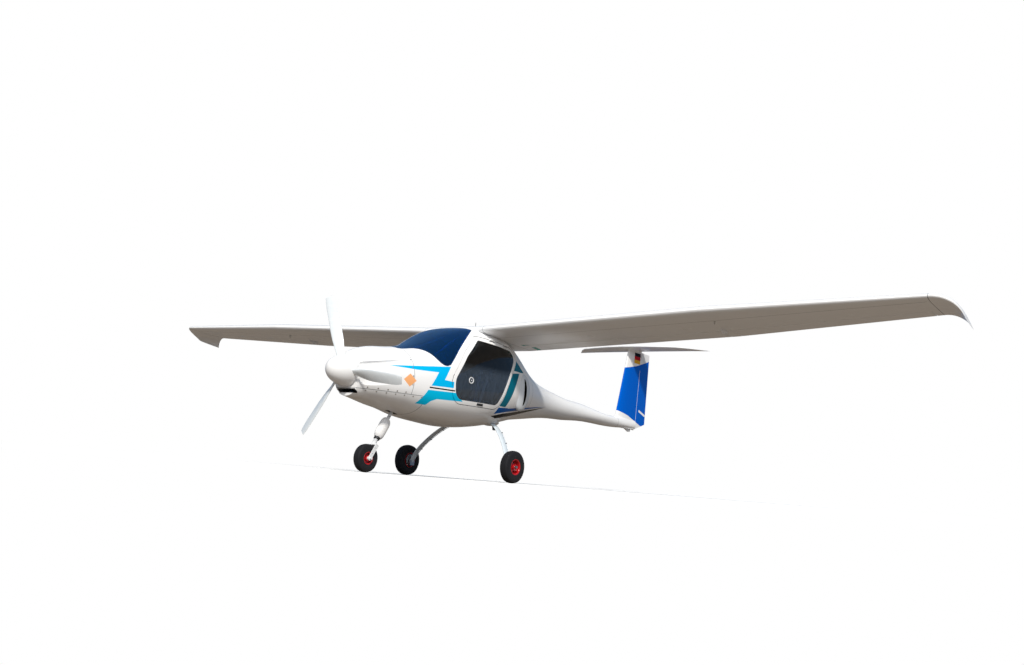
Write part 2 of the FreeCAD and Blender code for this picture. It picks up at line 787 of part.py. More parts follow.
# Tailplane: half sections from the centre to the pointed tip.
# Each row is the share of the half span, then the shares of the centre chord at which the leading and
# the trailing edge lie behind the apex.
ELEVATOR_LUG_SHARES = (0.3, 0.8)
TAIL_VOID_START_SHARE = 0.08
TAILPLANE_SECTION_SHARES = [
    (0.000, 0.000, 1.000),
    (0.250, 0.055, 1.005),
    (0.490, 0.175, 1.020),
    (0.705, 0.325, 1.035),
    (0.825, 0.560, 1.055),
    (0.905, 0.790, 1.075),
    (1.000, 1.060, 1.095),
]


def tailplane_height():
    """Height of the tailplane's chord plane."""
    return mm("tailplane_base_height") + mm("tailplane_thickness_share") * mm("tailplane_chord") / 2


def tailplane_wire(side, row, start=0.0, end=1.0, inset=0.0):
    along, front, back = row
    chord = mm("tailplane_chord")
    offset = side * along * mm("tailplane_span") / 2
    height = tailplane_height()
    return airfoil_wire(Vector(offset, mm("tailplane_station") + front * chord, height),
                        Vector(offset, mm("tailplane_station") + back * chord, height),
                        Vector(0, 0, 1), mm("tailplane_thickness_share"), 0.0, start, end, inset)


def make_tailplane():
    rows = TAILPLANE_SECTION_SHARES
    halves = []
    for side in (-1, 1):
        halves.append(Part.makeLoft([tailplane_wire(side, row) for row in rows], True, True))
    carrier = volume = halves[0].fuse(halves[1])
    height = tailplane_height()
    station = mm("elevator_hinge_station")
    inner, outer = mm("elevator_inner"), mm("elevator_outer")
    radius = mm("elevator_nose_radius")
    surfaces = []
    for first, last in ((-outer, -inner), (inner, outer)):
        frame = hinge_frame(Vector(first, station, height), Vector(last, station, height),
                            Vector(0, 1, 0))
        carrier, surface = split_surface(carrier, frame, last - first, radius, radius, ELEVATOR_LUG_SHARES)
        surfaces.append(surface)
    reach_in = inner + 2 * mm("moving_gap")
    tube = Part.makeCylinder(mm("torque_tube_radius"), 2 * reach_in, Vector(-reach_in, station, height),
                             Vector(1, 0, 0))
    bore = Part.makeCylinder(mm("torque_tube_radius") + mm("pin_clearance"), 2 * reach_in,
                             Vector(-reach_in, station, height), Vector(1, 0, 0))
    skin = mm("fin_skin")
    spar = station - 3 * mm("elevator_nose_radius")
    for side in (-1, 1):
        wires = []
        for row in rows[:4]:
            front = mm("tailplane_station") + row[1] * mm("tailplane_chord")
            length = (row[2] - row[1]) * mm("tailplane_chord")
            wires.append(tailplane_wire(side, row, TAIL_VOID_START_SHARE, (spar - front) / length, skin))
        carrier = carrier.cut(Part.makeLoft(wires, True, True))
    report_hinge("elevator", hinge_frame(Vector(0, station, height), Vector(inner, station, height),
                                         Vector(0, 1, 0)))
    return carrier.cut(bore), surfaces[0].multiFuse([surfaces[1], tube]), volume


FIN_LUG_SHARES = (0.3, 0.6, 0.9)
FIN_VOID_END_SHARES = (0.46, 0.42)
RUDDER_FOOT_SHARES = (0.1, 1.15)
FIN_THICKNESS_SHARE = 0.095
FIN_HINGE_SHARES = (0.638, 0.574)


def fin_edges(height):
    share = (height - mm("fin_root_height")) / mm("fin_height")
    front = mm("fin_root_station") + share * mm("fin_sweep")
    chord = mm("fin_root_chord") + share * (mm("fin_tip_chord") - mm("fin_root_chord"))
    return Vector(0, front, height), Vector(0, front + chord, height), share


def fin_wire(height, start=0.0, end=1.0, inset=0.0):
    front, back, _ = fin_edges(height)
    return airfoil_wire(front, back, Vector(1, 0, 0), FIN_THICKNESS_SHARE, 0.0, start, end, inset)


def fin_hinge(height):
    """A point of the rudder's hinge line and half the fin's depth there."""
    front, back, share = fin_edges(height)
    place = FIN_HINGE_SHARES[0] + share * (FIN_HINGE_SHARES[1] - FIN_HINGE_SHARES[0])
    high, low = airfoil_heights(place, FIN_THICKNESS_SHARE, 0.0)
    return front + (back - front) * place, high * (back - front).Length


def make_fin():
    bottom = mm("fin_start_height")
    top = mm("fin_root_height") + mm("fin_height")
    gap = mm("moving_gap")
    carrier = Part.makeLoft([fin_wire(bottom), fin_wire(tailplane_height())], True, True)
    first, first_radius = fin_hinge(bottom - gap)
    last, last_radius = fin_hinge(tailplane_height() + 4 * gap)
    frame = hinge_frame(first, last, Vector(0, 1, 0))
    length = (last - first).Length
    first_radius *= NOSE_FIT_SHARE
    last_radius *= NOSE_FIT_SHARE
    carrier, rudder = split_surface(carrier, frame, length, first_radius, last_radius, FIN_LUG_SHARES)
    foot = mm("rudder_foot_rise")
    front, back, _ = fin_edges(bottom)
    ahead = first.y - 3 * first_radius
    front_foot, back_foot = [bottom + share * foot for share in RUDDER_FOOT_SHARES]
    under = Part.Face(Part.makePolygon([
        Vector(-foot, ahead, bottom - foot),
        Vector(-foot, back.y + foot, bottom - foot),
        Vector(-foot, back.y + foot, back_foot),
        Vector(-foot, first.y, front_foot),
        Vector(-foot, ahead, front_foot),
        Vector(-foot, ahead, bottom - foot),
    ]))
    rudder = rudder.cut(under.extrude(Vector(2 * foot, 0, 0))).cut(slab(0, 2 * reach, top - 2 * gap))
    start, skin = TAIL_VOID_START_SHARE, mm("fin_skin")
    low_end, high_end = FIN_VOID_END_SHARES
    void = Part.makeLoft([fin_wire(mm("fin_root_height") + foot, start, low_end, skin),
                          fin_wire(top - 6 * gap, start, high_end, skin)], True, True)
    cove = tapered_rod(first_radius + gap, last_radius + gap, 0, length, frame)
    report_hinge("rudder", frame)
    return carrier.cut(fuselage_outside).cut(void), rudder, cove


BLADE_AXIS_SHARE = 0.4
BLADE_CAMBER_SHARE = 0.02
# Propeller: three broad twisted blades on a hub inside the spinner.
# Each row is the share of the propeller's radius, the chord as a share of the widest chord, the
# thickness as a share of that chord, and the pitch angle from the disc in degrees.
BLADE_SECTION_SHARES = [
    (0.085, 0.52, 0.62, 48),
    (0.20, 0.62, 0.34, 42),
    (0.35, 0.88, 0.17, 32),
    (0.55, 1.00, 0.12, 24),
    (0.78, 0.92, 0.10, 19),
    (0.94, 0.78, 0.09, 16),
    (1.00, 0.62, 0.09, 15),
]


def make_blade(turn):
    wires = []
    for along, width, thickness, pitch in BLADE_SECTION_SHARES:
        chord = width * mm("blade_chord")
        angle = math.radians(pitch)
        direction = Vector(math.cos(angle), math.sin(angle), 0)
        middle = Vector(0, 0, along * mm("propeller_radius"))
        front = middle - direction * (BLADE_AXIS_SHARE * chord)
        wires.append(airfoil_wire(front, front + direction * chord, Vector(direction.y, -direction.x, 0),
                                  thickness, BLADE_CAMBER_SHARE))
    blade = Part.makeLoft(wires, True, False)
    blade.rotate(Vector(0, 0, 0), Vector(0, 1, 0), turn)
    blade.translate(Vector(0, mm("propeller_station"), mm("thrust_line_height")))
    return blade


def make_propeller():
    axis = Vector(0, 1, 0)
    centre = Vector(0, mm("propeller_station"), mm("thrust_line_height"))
    hub_foot = centre - axis * (mm("hub_length") / 2)
    hub = Part.makeCylinder(mm("hub_radius"), mm("hub_length"), hub_foot, axis)
    blades = [make_blade(-mm("propeller_rest_angle") + 120 * number) for number in range(3)]
    return hub.multiFuse(blades)


def stretched(shape, x_share, y_share, z_share):
    """The shape made longer or shorter along each axis."""
    scale = FreeCAD.Matrix()
    scale.scale(x_share, y_share, z_share)
    return shape.transformGeometry(scale)


def make_spinner(propeller):
    length, radius = mm("spinner_length"), mm("spinner_radius")
    dome = stretched(Part.makeSphere(radius), 1, length / radius, 1)
    dome.translate(Vector(0, length, mm("thrust_line_height")))
    shaft_room = Part.makeCylinder(mm("shaft_radius"), length, Vector(0, 0, mm("thrust_line_height")),
                                   Vector(0, 1, 0))
    shaft_room = shaft_room.common(slab(mm("propeller_station"), 2 * length))
    return dome.common(slab(-length, length)).cut(propeller).cut(shaft_room)


# Undercarriage: the main legs are curved composite bows.
# Each row is a share of the way out, back towards the axle and down from the leg's root.
LEG_PATH_SHARES = [
    (-0.55, -0.10, -0.04),
    (0.00, 0.00, 0.00),
    (0.36, 0.28, 0.20),
    (0.70, 0.62, 0.51),
    (0.93, 0.88, 0.82),
    (1.00, 1.00, 1.10),
]
LEG_CHORD_SHARES = (1.10, 1.05, 1.00, 0.92, 0.86, 0.84)


def leg_foot_offset():
    """How far out the inner face of the leg's foot stands."""
    beside = mm("leg_foot_clearance") + mm("leg_thickness") / 2
    return mm("main_track") / 2 - mm("main_tyre_width") / 2 - beside


def leg_path():
    out = leg_foot_offset() - mm("leg_root_offset")
    back = mm("main_axle_station") - mm("leg_root_station")
    down = mm("leg_root_height") - mm("main_tyre_radius")
    points = []
    for x_share, y_share, z_share in LEG_PATH_SHARES:
        points.append(Vector(mm("leg_root_offset") + x_share * out, mm("leg_root_station") + y_share * back,
                             mm("leg_root_height") - z_share * down))
    curve = Part.BSplineCurve()
    curve.interpolate(Points=points)
    return curve, points


def leg_loft(margin):
    """The left leg's spring, made larger all round by margin."""
    curve, points = leg_path()
    wires = []
    for point, share in zip(points, LEG_CHORD_SHARES):
        tangent = Vector(*curve.tangent(curve.parameter(point))[0])
        chordwise = (Vector(0, 1, 0) - tangent * tangent.y).normalize()
        normal = chordwise.cross(tangent)
        ellipse = Part.Ellipse(point + chordwise * (share * mm("leg_chord") / 2 + margin),
                               point + normal * (mm("leg_thickness") / 2 + margin), point)
        wires.append(Part.Wire([ellipse.toShape()]))
    return Part.makeLoft(wires, True, False)


def belly_skin(out, station):
    """Height of the fuselage's underside at a place."""
    line = Part.makeLine(Vector(out, station, 0), Vector(out, station, mm("thrust_line_height")))
    return line.common(fuselage_outside).BoundBox.ZMin


def make_leg_cover():
    """A low oval cover on the belly round the place where the left leg goes in."""
    curve, _ = leg_path()
    buried = curve.toShape().common(fuselage_outside).BoundBox
    long, wide, deep = mm("leg_cover_length"), mm("leg_cover_width"), mm("leg_cover_depth")
    inner, outer = buried.XMax - wide / 2, buried.XMax + wide / 2
    slope = math.atan2(belly_skin(outer, buried.YMin) - belly_skin(inner, buried.YMin), wide)
    cover = stretched(Part.makeSphere(long / 2), wide / long, 1, 2 * deep / long)
    cover.rotate(Vector(0, 0, 0), Vector(0, 1, 0), -math.degrees(slope))
    cover.translate(Vector(buried.XMax, buried.YMin, belly_skin(buried.XMax, buried.YMin)))
    return cover.cut(fuselage_outside).cut(leg_loft(mm("moving_gap") / 2))


def make_main_axle(leg):
    """Axle, inner collar, outer nut and brake caliper, carried by the leg's foot."""
    foot = leg_foot_offset()
    half = mm("leg_thickness") / 2
    radius = mm("axle_radius")
    centre = Vector(foot, mm("main_axle_station"), mm("main_tyre_radius"))
    out = Vector(1, 0, 0)
    gap = mm("axle_end_gap")
    outer_end = mm("main_track") / 2 + mm("main_rim_width") / 2 + gap
    inner_end = mm("main_track") / 2 - mm("main_rim_width") / 2 - gap
    axle = Part.makeCylinder(radius, outer_end + 2 * radius - foot, centre, out)
    collar = Part.makeCylinder(2 * radius, inner_end - foot, centre, out)
    nut = Part.makeCylinder(3 * radius / 2, radius, Vector(outer_end, centre.y, centre.z), out)
    caliper_low = Vector(foot - half, centre.y - 3 * radius, centre.z - 5 * radius)
    caliper = box(caliper_low, caliper_low + Vector(2 * half, 6 * radius, 5 * radius))
    return axle.multiFuse([collar, nut, caliper]).cut(leg)


def steering_frame():
    """Placement on the nose wheel's axle with its third axis up the raked steering axis."""
    rake = math.radians(mm("steering_rake"))
    up = Vector(0, math.sin(rake), math.cos(rake))
    out = Vector(1, 0, 0)
    return Placement(Vector(0, mm("nose_axle_station"), mm("nose_tyre_radius")),
                     Rotation(out, up.cross(out), up, "XYZ"))


def make_nose_leg(frame):
    up = Vector(0, 0, 1)
    bottom, top = mm("nose_leg_bottom"), mm("nose_leg_top")
    tube = placed(Part.makeCylinder(mm("nose_leg_radius"), top - bottom, up * bottom, up), frame)
    head = frame.multVec(up * top)
    wide = 2 * mm("nose_leg_radius")
    block = box(Vector(-wide, head.y - wide, head.z - 3 * wide / 2),
                Vector(wide, mm("firewall_station"), head.z + wide))
    return tube.fuse(block)


# Each row is the share of the nose fairing's height and the share of its full width and length there.
NOSE_FAIRING_SHARES = ((0.0, 0.62), (0.14, 0.92), (0.5, 1.0), (0.86, 0.92), (1.0, 0.6))


def make_nose_fairing(frame):
    low, high = mm("nose_fairing_bottom"), mm("nose_fairing_top")
    wide, long = mm("nose_fairing_width") / 2, mm("nose_fairing_length") / 2
    wires = []
    for share, size in NOSE_FAIRING_SHARES:
        height = low + share * (high - low)
        ellipse = Part.Ellipse(Vector(0, size * long, height), Vector(size * wide, 0, height),
                               Vector(0, 0, height))
        wires.append(Part.Wire([ellipse.toShape()]))
    pod = Part.makeLoft(wires, True, False)
    bore_depth = high - mm("nose_leg_bottom") + mm("pin_clearance")
    bore = Part.makeCylinder(mm("nose_leg_radius") + mm("pin_clearance"), 2 * bore_depth,
                             Vector(0, 0, high - bore_depth), Vector(0, 0, 1))
    return placed(pod.cut(bore), frame)


def make_nose_fork(frame):
    plate = mm("fork_plate_thickness")
    half_width = mm("fork_plate_width") / 2
    inside = mm("nose_tyre_width") / 2 + 3 * mm("moving_gap") / 2
    crown = mm("nose_tyre_radius") + 2 * mm("moving_gap")
    top = mm("nose_fairing_bottom")
    neck = mm("nose_leg_radius") + mm("axle_radius") / 3
    solids = [box(Vector(-inside - plate, -half_width, crown),
                  Vector(inside + plate, half_width, crown + 2 * plate)),
              Part.makeCylinder(neck, top - crown, Vector(0, 0, crown), Vector(0, 0, 1))]
    for side in (-1, 1):
        low = min(side * inside, side * (inside + plate))
        arm = box(Vector(low, -half_width, 0), Vector(low + plate, half_width, crown + plate))
        foot = Part.makeCylinder(half_width, plate, Vector(low, 0, 0), Vector(1, 0, 0))
        solids += [arm, foot]
    axle_length = 2 * (inside + plate + mm("tow_pin_length"))
    solids.append(Part.makeCylinder(mm("axle_radius"), axle_length, Vector(-axle_length / 2, 0, 0),
                                    Vector(1, 0, 0)))
    boss = mm("nose_rim_width") / 2 + mm("axle_end_gap")
    for side in (-1, 1):
        low = min(side * boss, side * inside)
        solids.append(Part.makeCylinder(3 * mm("axle_radius") / 2, inside - boss, Vector(low, 0, 0),
                                        Vector(1, 0, 0)))
    return placed(solids[0].multiFuse(solids[1:]), frame)


def profile_sketch(body, name, plane, corners):
    """A closed sketch on one of the body's origin planes, each corner tied to the sheet."""
    sketch = body.newObject("Sketcher::SketchObject", name)
    support = [feature for feature in body.Origin.OriginFeatures if feature.Role == plane][0]
    sketch.AttachmentSupport = [(support, "")]
    sketch.MapMode = "FlatFace"
    places = [Vector(float(sheet.evalExpression(x)), float(sheet.evalExpression(y)), 0)
              for x, y in corners]
    count = len(places)
    for number in range(count):
        sketch.addGeometry(Part.LineSegment(places[number], places[(number + 1) % count]), False)
    from_origin = -1
    for number in range(count):
        sketch.addConstraint(Sketcher.Constraint("Coincident", number, 2, (number + 1) % count, 1))
    for number, (x, y) in enumerate(corners):
        for kind, expression in (("DistanceX", x), ("DistanceY", y)):
            index = sketch.addConstraint(Sketcher.Constraint(kind, from_origin, 1, number, 1,
                                                             places[number][0 if kind == "DistanceX" else 1]))
            sketch.setExpression("Constraints[%d]" % index, bound(expression))
    return sketch


def bound(expression):
    """The same expression with each size looked up in the sheet."""
    words = []
    for word in expression.replace("(", "( ").replace(")", " )").split():
        words.append("Sizes." + word if word in ALIASES else word)
    return " ".join(words)


def wheel_body(label, outline):
    """A body turned about the wheel's axle, which lies along X."""
    body = doc.addObject("PartDesign::Body", label)
    body.Label = label
    sketch = profile_sketch(body, label + "_profile", "XY_Plane", outline)
    turned = body.newObject("PartDesign::Revolution", label + "_turned")
    turned.Profile = sketch
    turned.ReferenceAxis = (sketch, ["H_Axis"])
    turned.Angle = 360
    doc.recompute()
    return body, turned


def round_edges(body, base, label, radius_expression, wanted_radius):
    """Round the circles of a turned body that have the wanted radius."""
    names = []
    for number, edge in enumerate(body.Shape.Edges, start=1):
        curve = edge.Curve
        if isinstance(curve, Part.Circle) and abs(curve.Radius - wanted_radius) < mm("pin_clearance"):
            names.append("Edge%d" % number)
    rounded = body.newObject("PartDesign::Fillet", label)
    rounded.Base = (base, names)
    rounded.setExpression("Radius", bound(radius_expression))
    doc.recompute()
    return rounded


def make_tyre(label, kind):
    half = kind + "_tyre_width / 2"
    outline = [("- " + half, kind + "_rim_radius"), (half, kind + "_rim_radius"),
               (half, kind + "_tyre_radius"), ("- " + half, kind + "_tyre_radius")]
    body, turned = wheel_body(label, outline)
    round_edges(body, turned, label + "_shoulders", kind + "_tyre_width * tyre_shoulder_share",
                mm(kind + "_tyre_radius"))
    return body


def make_hub(label, kind):
    half = kind + "_rim_width / 2"
    web = "wheel_web_thickness / 2"
    bore = "axle_radius + pin_clearance"
    inside = kind + "_rim_radius - wheel_rim_thickness"
    outline = [("- " + half, bore), (half, bore), (half, "wheel_boss_radius"), (web, "wheel_boss_radius"),
               (web, inside), (half, inside), (half, kind + "_rim_radius"),
               ("- " + half, kind + "_rim_radius"),
               ("- " + half, inside), ("- " + web, inside), ("- " + web, "wheel_boss_radius"),
               ("- " + half, "wheel_boss_radius")]
    body, turned = wheel_body(label, outline)
    holes = body.newObject("Sketcher::SketchObject", label + "_hole")
    plane = [feature for feature in body.Origin.OriginFeatures if feature.Role == "YZ_Plane"][0]
    holes.AttachmentSupport = [(plane, "")]
    holes.MapMode = "FlatFace"
    middle = (mm("wheel_boss_radius") + mm(kind + "_rim_radius") - mm("wheel_rim_thickness")) / 2
    size = mm("wheel_hole_share") * (mm(kind + "_rim_radius") - mm("wheel_boss_radius"))
    holes.addGeometry(Part.Circle(Vector(middle, 0, 0), Vector(0, 0, 1), size), False)
    at = holes.addConstraint(Sketcher.Constraint("DistanceX", -1, 1, 0, 3, middle))
    holes.setExpression("Constraints[%d]" % at,
                        bound("( wheel_boss_radius + " + kind + "_rim_radius - wheel_rim_thickness ) / 2"))
    holes.addConstraint(Sketcher.Constraint("PointOnObject", 0, 3, -1))
    wide = holes.addConstraint(Sketcher.Constraint("Radius", 0, size))
    holes.setExpression("Constraints[%d]" % wide,
                        bound("( " + kind + "_rim_radius - wheel_boss_radius ) * wheel_hole_share"))
    doc.recompute()
    pocket = body.newObject("PartDesign::Pocket", label + "_lightening")
    pocket.Profile = holes
    pocket.Type = 1
    pocket.Midplane = True
    doc.recompute()
    pattern = body.newObject("PartDesign::PolarPattern", label + "_holes")
    pattern.Originals = [pocket]
    axis = [feature for feature in body.Origin.OriginFeatures if feature.Role == "X_Axis"][0]
    pattern.Axis = (axis, [""])
    pattern.Angle = 360
    pattern.setExpression("Occurrences", "Sizes.wheel_hole_count")
    body.Tip = pattern
    doc.recompute()
    return body


def place_wheel(body, kind):
    station = "Sizes." + kind + "_axle_station - Sizes.overall_length / 2"
    body.setExpression("Placement.Base.y", station)
    body.setExpression("Placement.Base.z", "Sizes." + kind + "_tyre_radius")
    if kind == "main":
        body.setExpression("Placement.Base.x", "Sizes.main_track / 2")


def make_seat():
    """One seat: a cushion and a leaning back, drawn in side view and rounded along its edges."""
    front, base = mm("seat_front"), mm("floor_height")
    cushion_top = base + mm("seat_cushion_height")
    back_foot = front + mm("seat_cushion_length")
    lean, tall, thick = mm("seat_back_lean"), mm("seat_back_height"), mm("seat_back_thickness")
    corner = mm("seat_cushion_height") / 4
    corners = [
        (Vector(0, front, base), corner),
        (Vector(0, front, cushion_top + corner), corner),
        (Vector(0, back_foot, cushion_top), corner),
        (Vector(0, back_foot + lean, cushion_top + tall), corner),
        (Vector(0, back_foot + lean + thick, cushion_top + tall), corner),
        (Vector(0, back_foot + thick, base), corner),
    ]
    half = mm("seat_width") / 2
    seat = side_prism(rounded_outline(corners), mm("seat_offset") - half, mm("seat_offset") + half)
    return seat.common(cabin_inside)


def make_interior():
    """Floor, bulkhead, instrument panel, console, sticks and pedals, each fitted to the cabin's wall."""
    floor = mm("floor_height")
    firewall = mm("firewall_station") + mm("firewall_thickness")
    bulkhead = mm("bulkhead_station")
    station, low, high = mm("panel_station"), mm("panel_base_height"), mm("panel_top_height")
    cabin_floor = cabin_inside.common(slab(firewall, bulkhead, 0, floor))
    rear_bulkhead = cabin_inside.common(slab(bulkhead, bulkhead + mm("bulkhead_thickness")))
    shelf_end = bulkhead + mm("bulkhead_thickness") + mm("battery_length") + 2 * mm("battery_rear_gap")
    shelf = cabin_inside.common(slab(bulkhead, shelf_end, 0, mm("battery_rear_base")))
    rear_bulkhead = rear_bulkhead.fuse(shelf).cut(centre_volume)
    board = slab(station, station + mm("panel_thickness"), low, high)
    cover = slab(station - mm("shield_length"), station + mm("panel_thickness"), high,
                 high + mm("shield_thickness"))
    instrument_panel = cabin_inside.common(board.fuse(cover))
    half = mm("console_width") / 2
    start = mm("stick_station") - mm("console_length") / 2
    console = box(Vector(-half, start, floor),
                  Vector(half, start + mm("console_length"), floor + mm("console_height")))
    sticks, pedals = [], []
    for side in (-1, 1):
        foot = Vector(side * mm("seat_offset"), mm("stick_station"), floor)
        up = Vector(0, 0, 1)
        rod = Part.makeCylinder(mm("stick_radius"), mm("stick_height"), foot, up)
        grip_foot = foot + up * (mm("stick_height") - mm("grip_length"))
        grip = Part.makeCylinder(mm("grip_radius"), mm("grip_length"), grip_foot, up)
        sticks.append(rod.fuse(grip))
        wide = mm("pedal_width")
        for place in (-1, 1):
            corner = Vector(side * mm("pedal_offset") + place * 3 * wide / 4 - wide / 2,
                            mm("pedal_station"), floor)
            pedals.append(box(corner, corner + Vector(wide, mm("stick_radius"), mm("pedal_height"))))
    return (cabin_floor, rear_bulkhead, instrument_panel, console, Part.makeCompound(sticks),
            cabin_inside.common(Part.makeCompound(pedals)))


def make_motor_mount():
    """A plate behind the motor and four rods back to the firewall."""
    front = mm("motor_station") + mm("motor_length")
    thick, rod = mm("motor_plate_thickness"), mm("motor_rod_radius")
    centre = Vector(0, front, mm("thrust_line_height"))
    upper = mm("firewall_shelf_height") + 2 * rod
    lower = 2 * centre.z - upper
    upper_end = mm("firewall_station") - mm("firewall_step")
    outer = mm("battery_width") / 2 + 2 * rod
    plate = box(Vector(-outer - rod, front, lower - rod), Vector(outer + rod, front + thick, upper + rod))
    solids = [plate]
    for side in (-1, 1):
        for height, end in ((upper, upper_end), (lower, mm("firewall_station"))):
            solids.append(Part.makeCylinder(rod, end - front, Vector(side * outer, front, height),
                                            Vector(0, 1, 0)))
    return plate.multiFuse(solids[1:])


def make_scoop():
    """An oval air scoop on the fuselage side with an upright slot in its front."""
    depth, length, tall = mm("scoop_depth"), mm("scoop_length"), mm("scoop_height")
    bulge = stretched(Part.makeSphere(tall / 2), 2 * depth / tall, length / tall, 1)
    station, height = mm("scoop_station"), mm("scoop_centre_height")
    side = side_offset(station, height) - depth / 3
    bulge.translate(Vector(side, station, height))
    slot_width, slot_height = mm("scoop_slot_width"), mm("scoop_slot_height")
    slot = stretched(Part.makeCylinder(slot_height / 2, mm("cut_overrun"), Vector(0, 0, 0), Vector(1, 0, 0)),
                     1, slot_width / slot_height, 1)
    slot.translate(Vector(side, station - length / 10, height))
    return bulge.cut(slot).cut(fuselage_outside)


def side_offset(station, height):
    """How far out the fuselage's skin stands at a station and height."""
    line = Part.makeLine(Vector(0, station, height), Vector(reach, station, height))
    inside = line.common(fuselage_outside)
    return inside.BoundBox.XMax


def skin_height(station, up):
    """Height of the fuselage's skin on the centreline, above or below."""
    line = Part.makeLine(Vector(0, station, 0), Vector(0, station, reach))
    inside = line.common(fuselage_outside)
    return inside.BoundBox.ZMax if up else inside.BoundBox.ZMin


def thin_fin(points, thickness):
    """A flat plate in side view, centred on the centreline."""
    face = Part.Face(Part.makePolygon(points + [points[0]]))
    face.translate(Vector(-thickness / 2, 0, 0))
    return face.extrude(Vector(thickness, 0, 0))


HORN_PLACE_SHARE = 0.6


def make_small_pieces():
    start, long, deep = mm("antenna_belly_station"), mm("antenna_belly_length"), mm("antenna_belly_depth")
    skin = skin_height(start + long / 2, False)
    belly = thin_fin([Vector(0, start, skin + deep), Vector(0, start + long, skin + deep),
                      Vector(0, start + long * mm("antenna_tip_share"), skin - deep),
                      Vector(0, start + long * mm("antenna_notch_share"), skin - deep)],
                     mm("antenna_belly_thickness")).cut(fuselage_outside)
    start, long, deep = mm("bumper_station"), mm("bumper_length"), mm("bumper_depth")
    skin = skin_height(start + long / 2, False)
    bumper = thin_fin([Vector(0, start, skin + deep), Vector(0, start + long, skin + deep),
                       Vector(0, start + long * mm("bumper_tip_share"), skin - deep),
                       Vector(0, start + long * mm("bumper_heel_share"), skin - deep),
                       Vector(0, start, skin)], mm("bumper_thickness")).cut(fuselage_outside).cut(fin)
    station = mm("antenna_roof_station")
    base = mm("wing_root_height")
    whip = Part.makeCylinder(mm("antenna_roof_radius"), mm("antenna_roof_height") + mm("cabin_wall"),
                             Vector(0, station, base), Vector(0, 0, 1)).cut(centre_volume)
    middle, half = wing_middle(mm("horn_offset"), HORN_PLACE_SHARE)
    long, deep = mm("horn_length"), mm("horn_depth")
    horn = thin_fin([Vector(0, middle.y - long / 2, middle.z), Vector(0, middle.y + long / 2, middle.z),
                     Vector(0, middle.y + long / 2, middle.z - half - deep / 2),
                     Vector(0, middle.y + long / 5, middle.z - half - deep)], mm("horn_thickness"))
    horn.translate(Vector(mm("horn_offset"), 0, 0))
    return belly, bumper, whip, horn.cut(wing_volume)


shell, door, windshield, door_window, cowl_upper, cowl_lower = make_cabin()
fin, rudder, rudder_cove = make_fin()
wing, flap, aileron = make_wing()
tailplane, elevator, tailplane_volume = make_tailplane()
fin = fin.cut(tailplane_volume)
steering = steering_frame()
propeller = make_propeller()

knuckles, eyes, knuckle_rooms, eye_rooms, bores = door_hinge_parts()
mirror_plane = (Vector(0, 0, 0), Vector(1, 0, 0))
shell = shell.cut(wing_volume).cut(wing_volume.mirror(*mirror_plane)).cut(centre_volume).cut(rudder_cove)
for room in knuckle_rooms:
    shell = shell.cut(room).cut(room.mirror(*mirror_plane))
for eye in eyes:
    shell = shell.fuse(eye).fuse(eye.mirror(*mirror_plane))
door = door.cut(eye_rooms).multiFuse(knuckles).cut(bores)
windshield = windshield.cut(centre_volume).cut(wing_volume).cut(wing_volume.mirror(*mirror_plane))

slot_half = mm("gear_slot_width") / 2
gear_slot = box(Vector(-slot_half, mm("gear_slot_start"), 0),
                Vector(slot_half, mm("gear_slot_start") + mm("gear_slot_length"), mm("inlet_centre_height")))
inlet_half, inlet_round = mm("inlet_width") / 2, mm("inlet_height") / 2
inlet_flat, inlet_back = inlet_half - inlet_round, mm("cowl_front") + mm("cut_overrun") / 4
inlet = box(Vector(-inlet_flat, 0, mm("inlet_centre_height") - inlet_round),
            Vector(inlet_flat, inlet_back, mm("inlet_centre_height") + inlet_round))
for side in (-1, 1):
    end = Vector(side * inlet_flat, 0, mm("inlet_centre_height"))
    inlet = inlet.fuse(Part.makeCylinder(inlet_round, inlet_back, end, Vector(0, 1, 0)))
shaft_hole = Part.makeCylinder(mm("shaft_hole_radius"), mm("motor_station"),
                               Vector(0, 0, mm("thrust_line_height")), Vector(0, 1, 0))
cowl_lower = cowl_lower.cut(gear_slot).cut(inlet)
cowl_upper = cowl_upper.cut(shaft_hole)

nodes = []
nodes.append(piece("fuselage", shell))
nodes.append(piece("cowl_upper", cowl_upper))
nodes.append(piece("cowl_lower", cowl_lower))
nodes.append(piece("windshield", windshield))
centre_inner = root - mm("cabin_wall")
centre_void = wing_loft([-centre_inner, centre_inner], CENTRE_VOID_SHARES[0], CENTRE_VOID_SHARES[1],
                        mm("wing_skin"))
nodes.append(piece("wing_centre", centre_volume.cut(centre_void)))
nodes.append(piece("fin", fin))
nodes.append(piece("rudder", rudder))
nodes.append(piece("tailplane", tailplane))
nodes.append(piece("elevator", elevator))
nodes.append(piece("propeller_blades", propeller))
nodes.append(piece("spinner", make_spinner(propeller)))
main_leg = leg_loft(0).cut(fuselage_loft(-mm("pin_clearance")))
for label, shape in (("wing", wing), ("flap", flap), ("aileron", aileron), ("wing_tip", make_wing_tip()),
                     ("door", door), ("door_window", door_window), ("side_scoop", make_scoop()),
                     ("main_leg", main_leg), ("main_axle", make_main_axle(main_leg)),
                     ("leg_cover", make_leg_cover()), ("seat", make_seat())):
    left = piece(label + "_left", shape)
    nodes += [left, mirrored(label + "_right", left)]

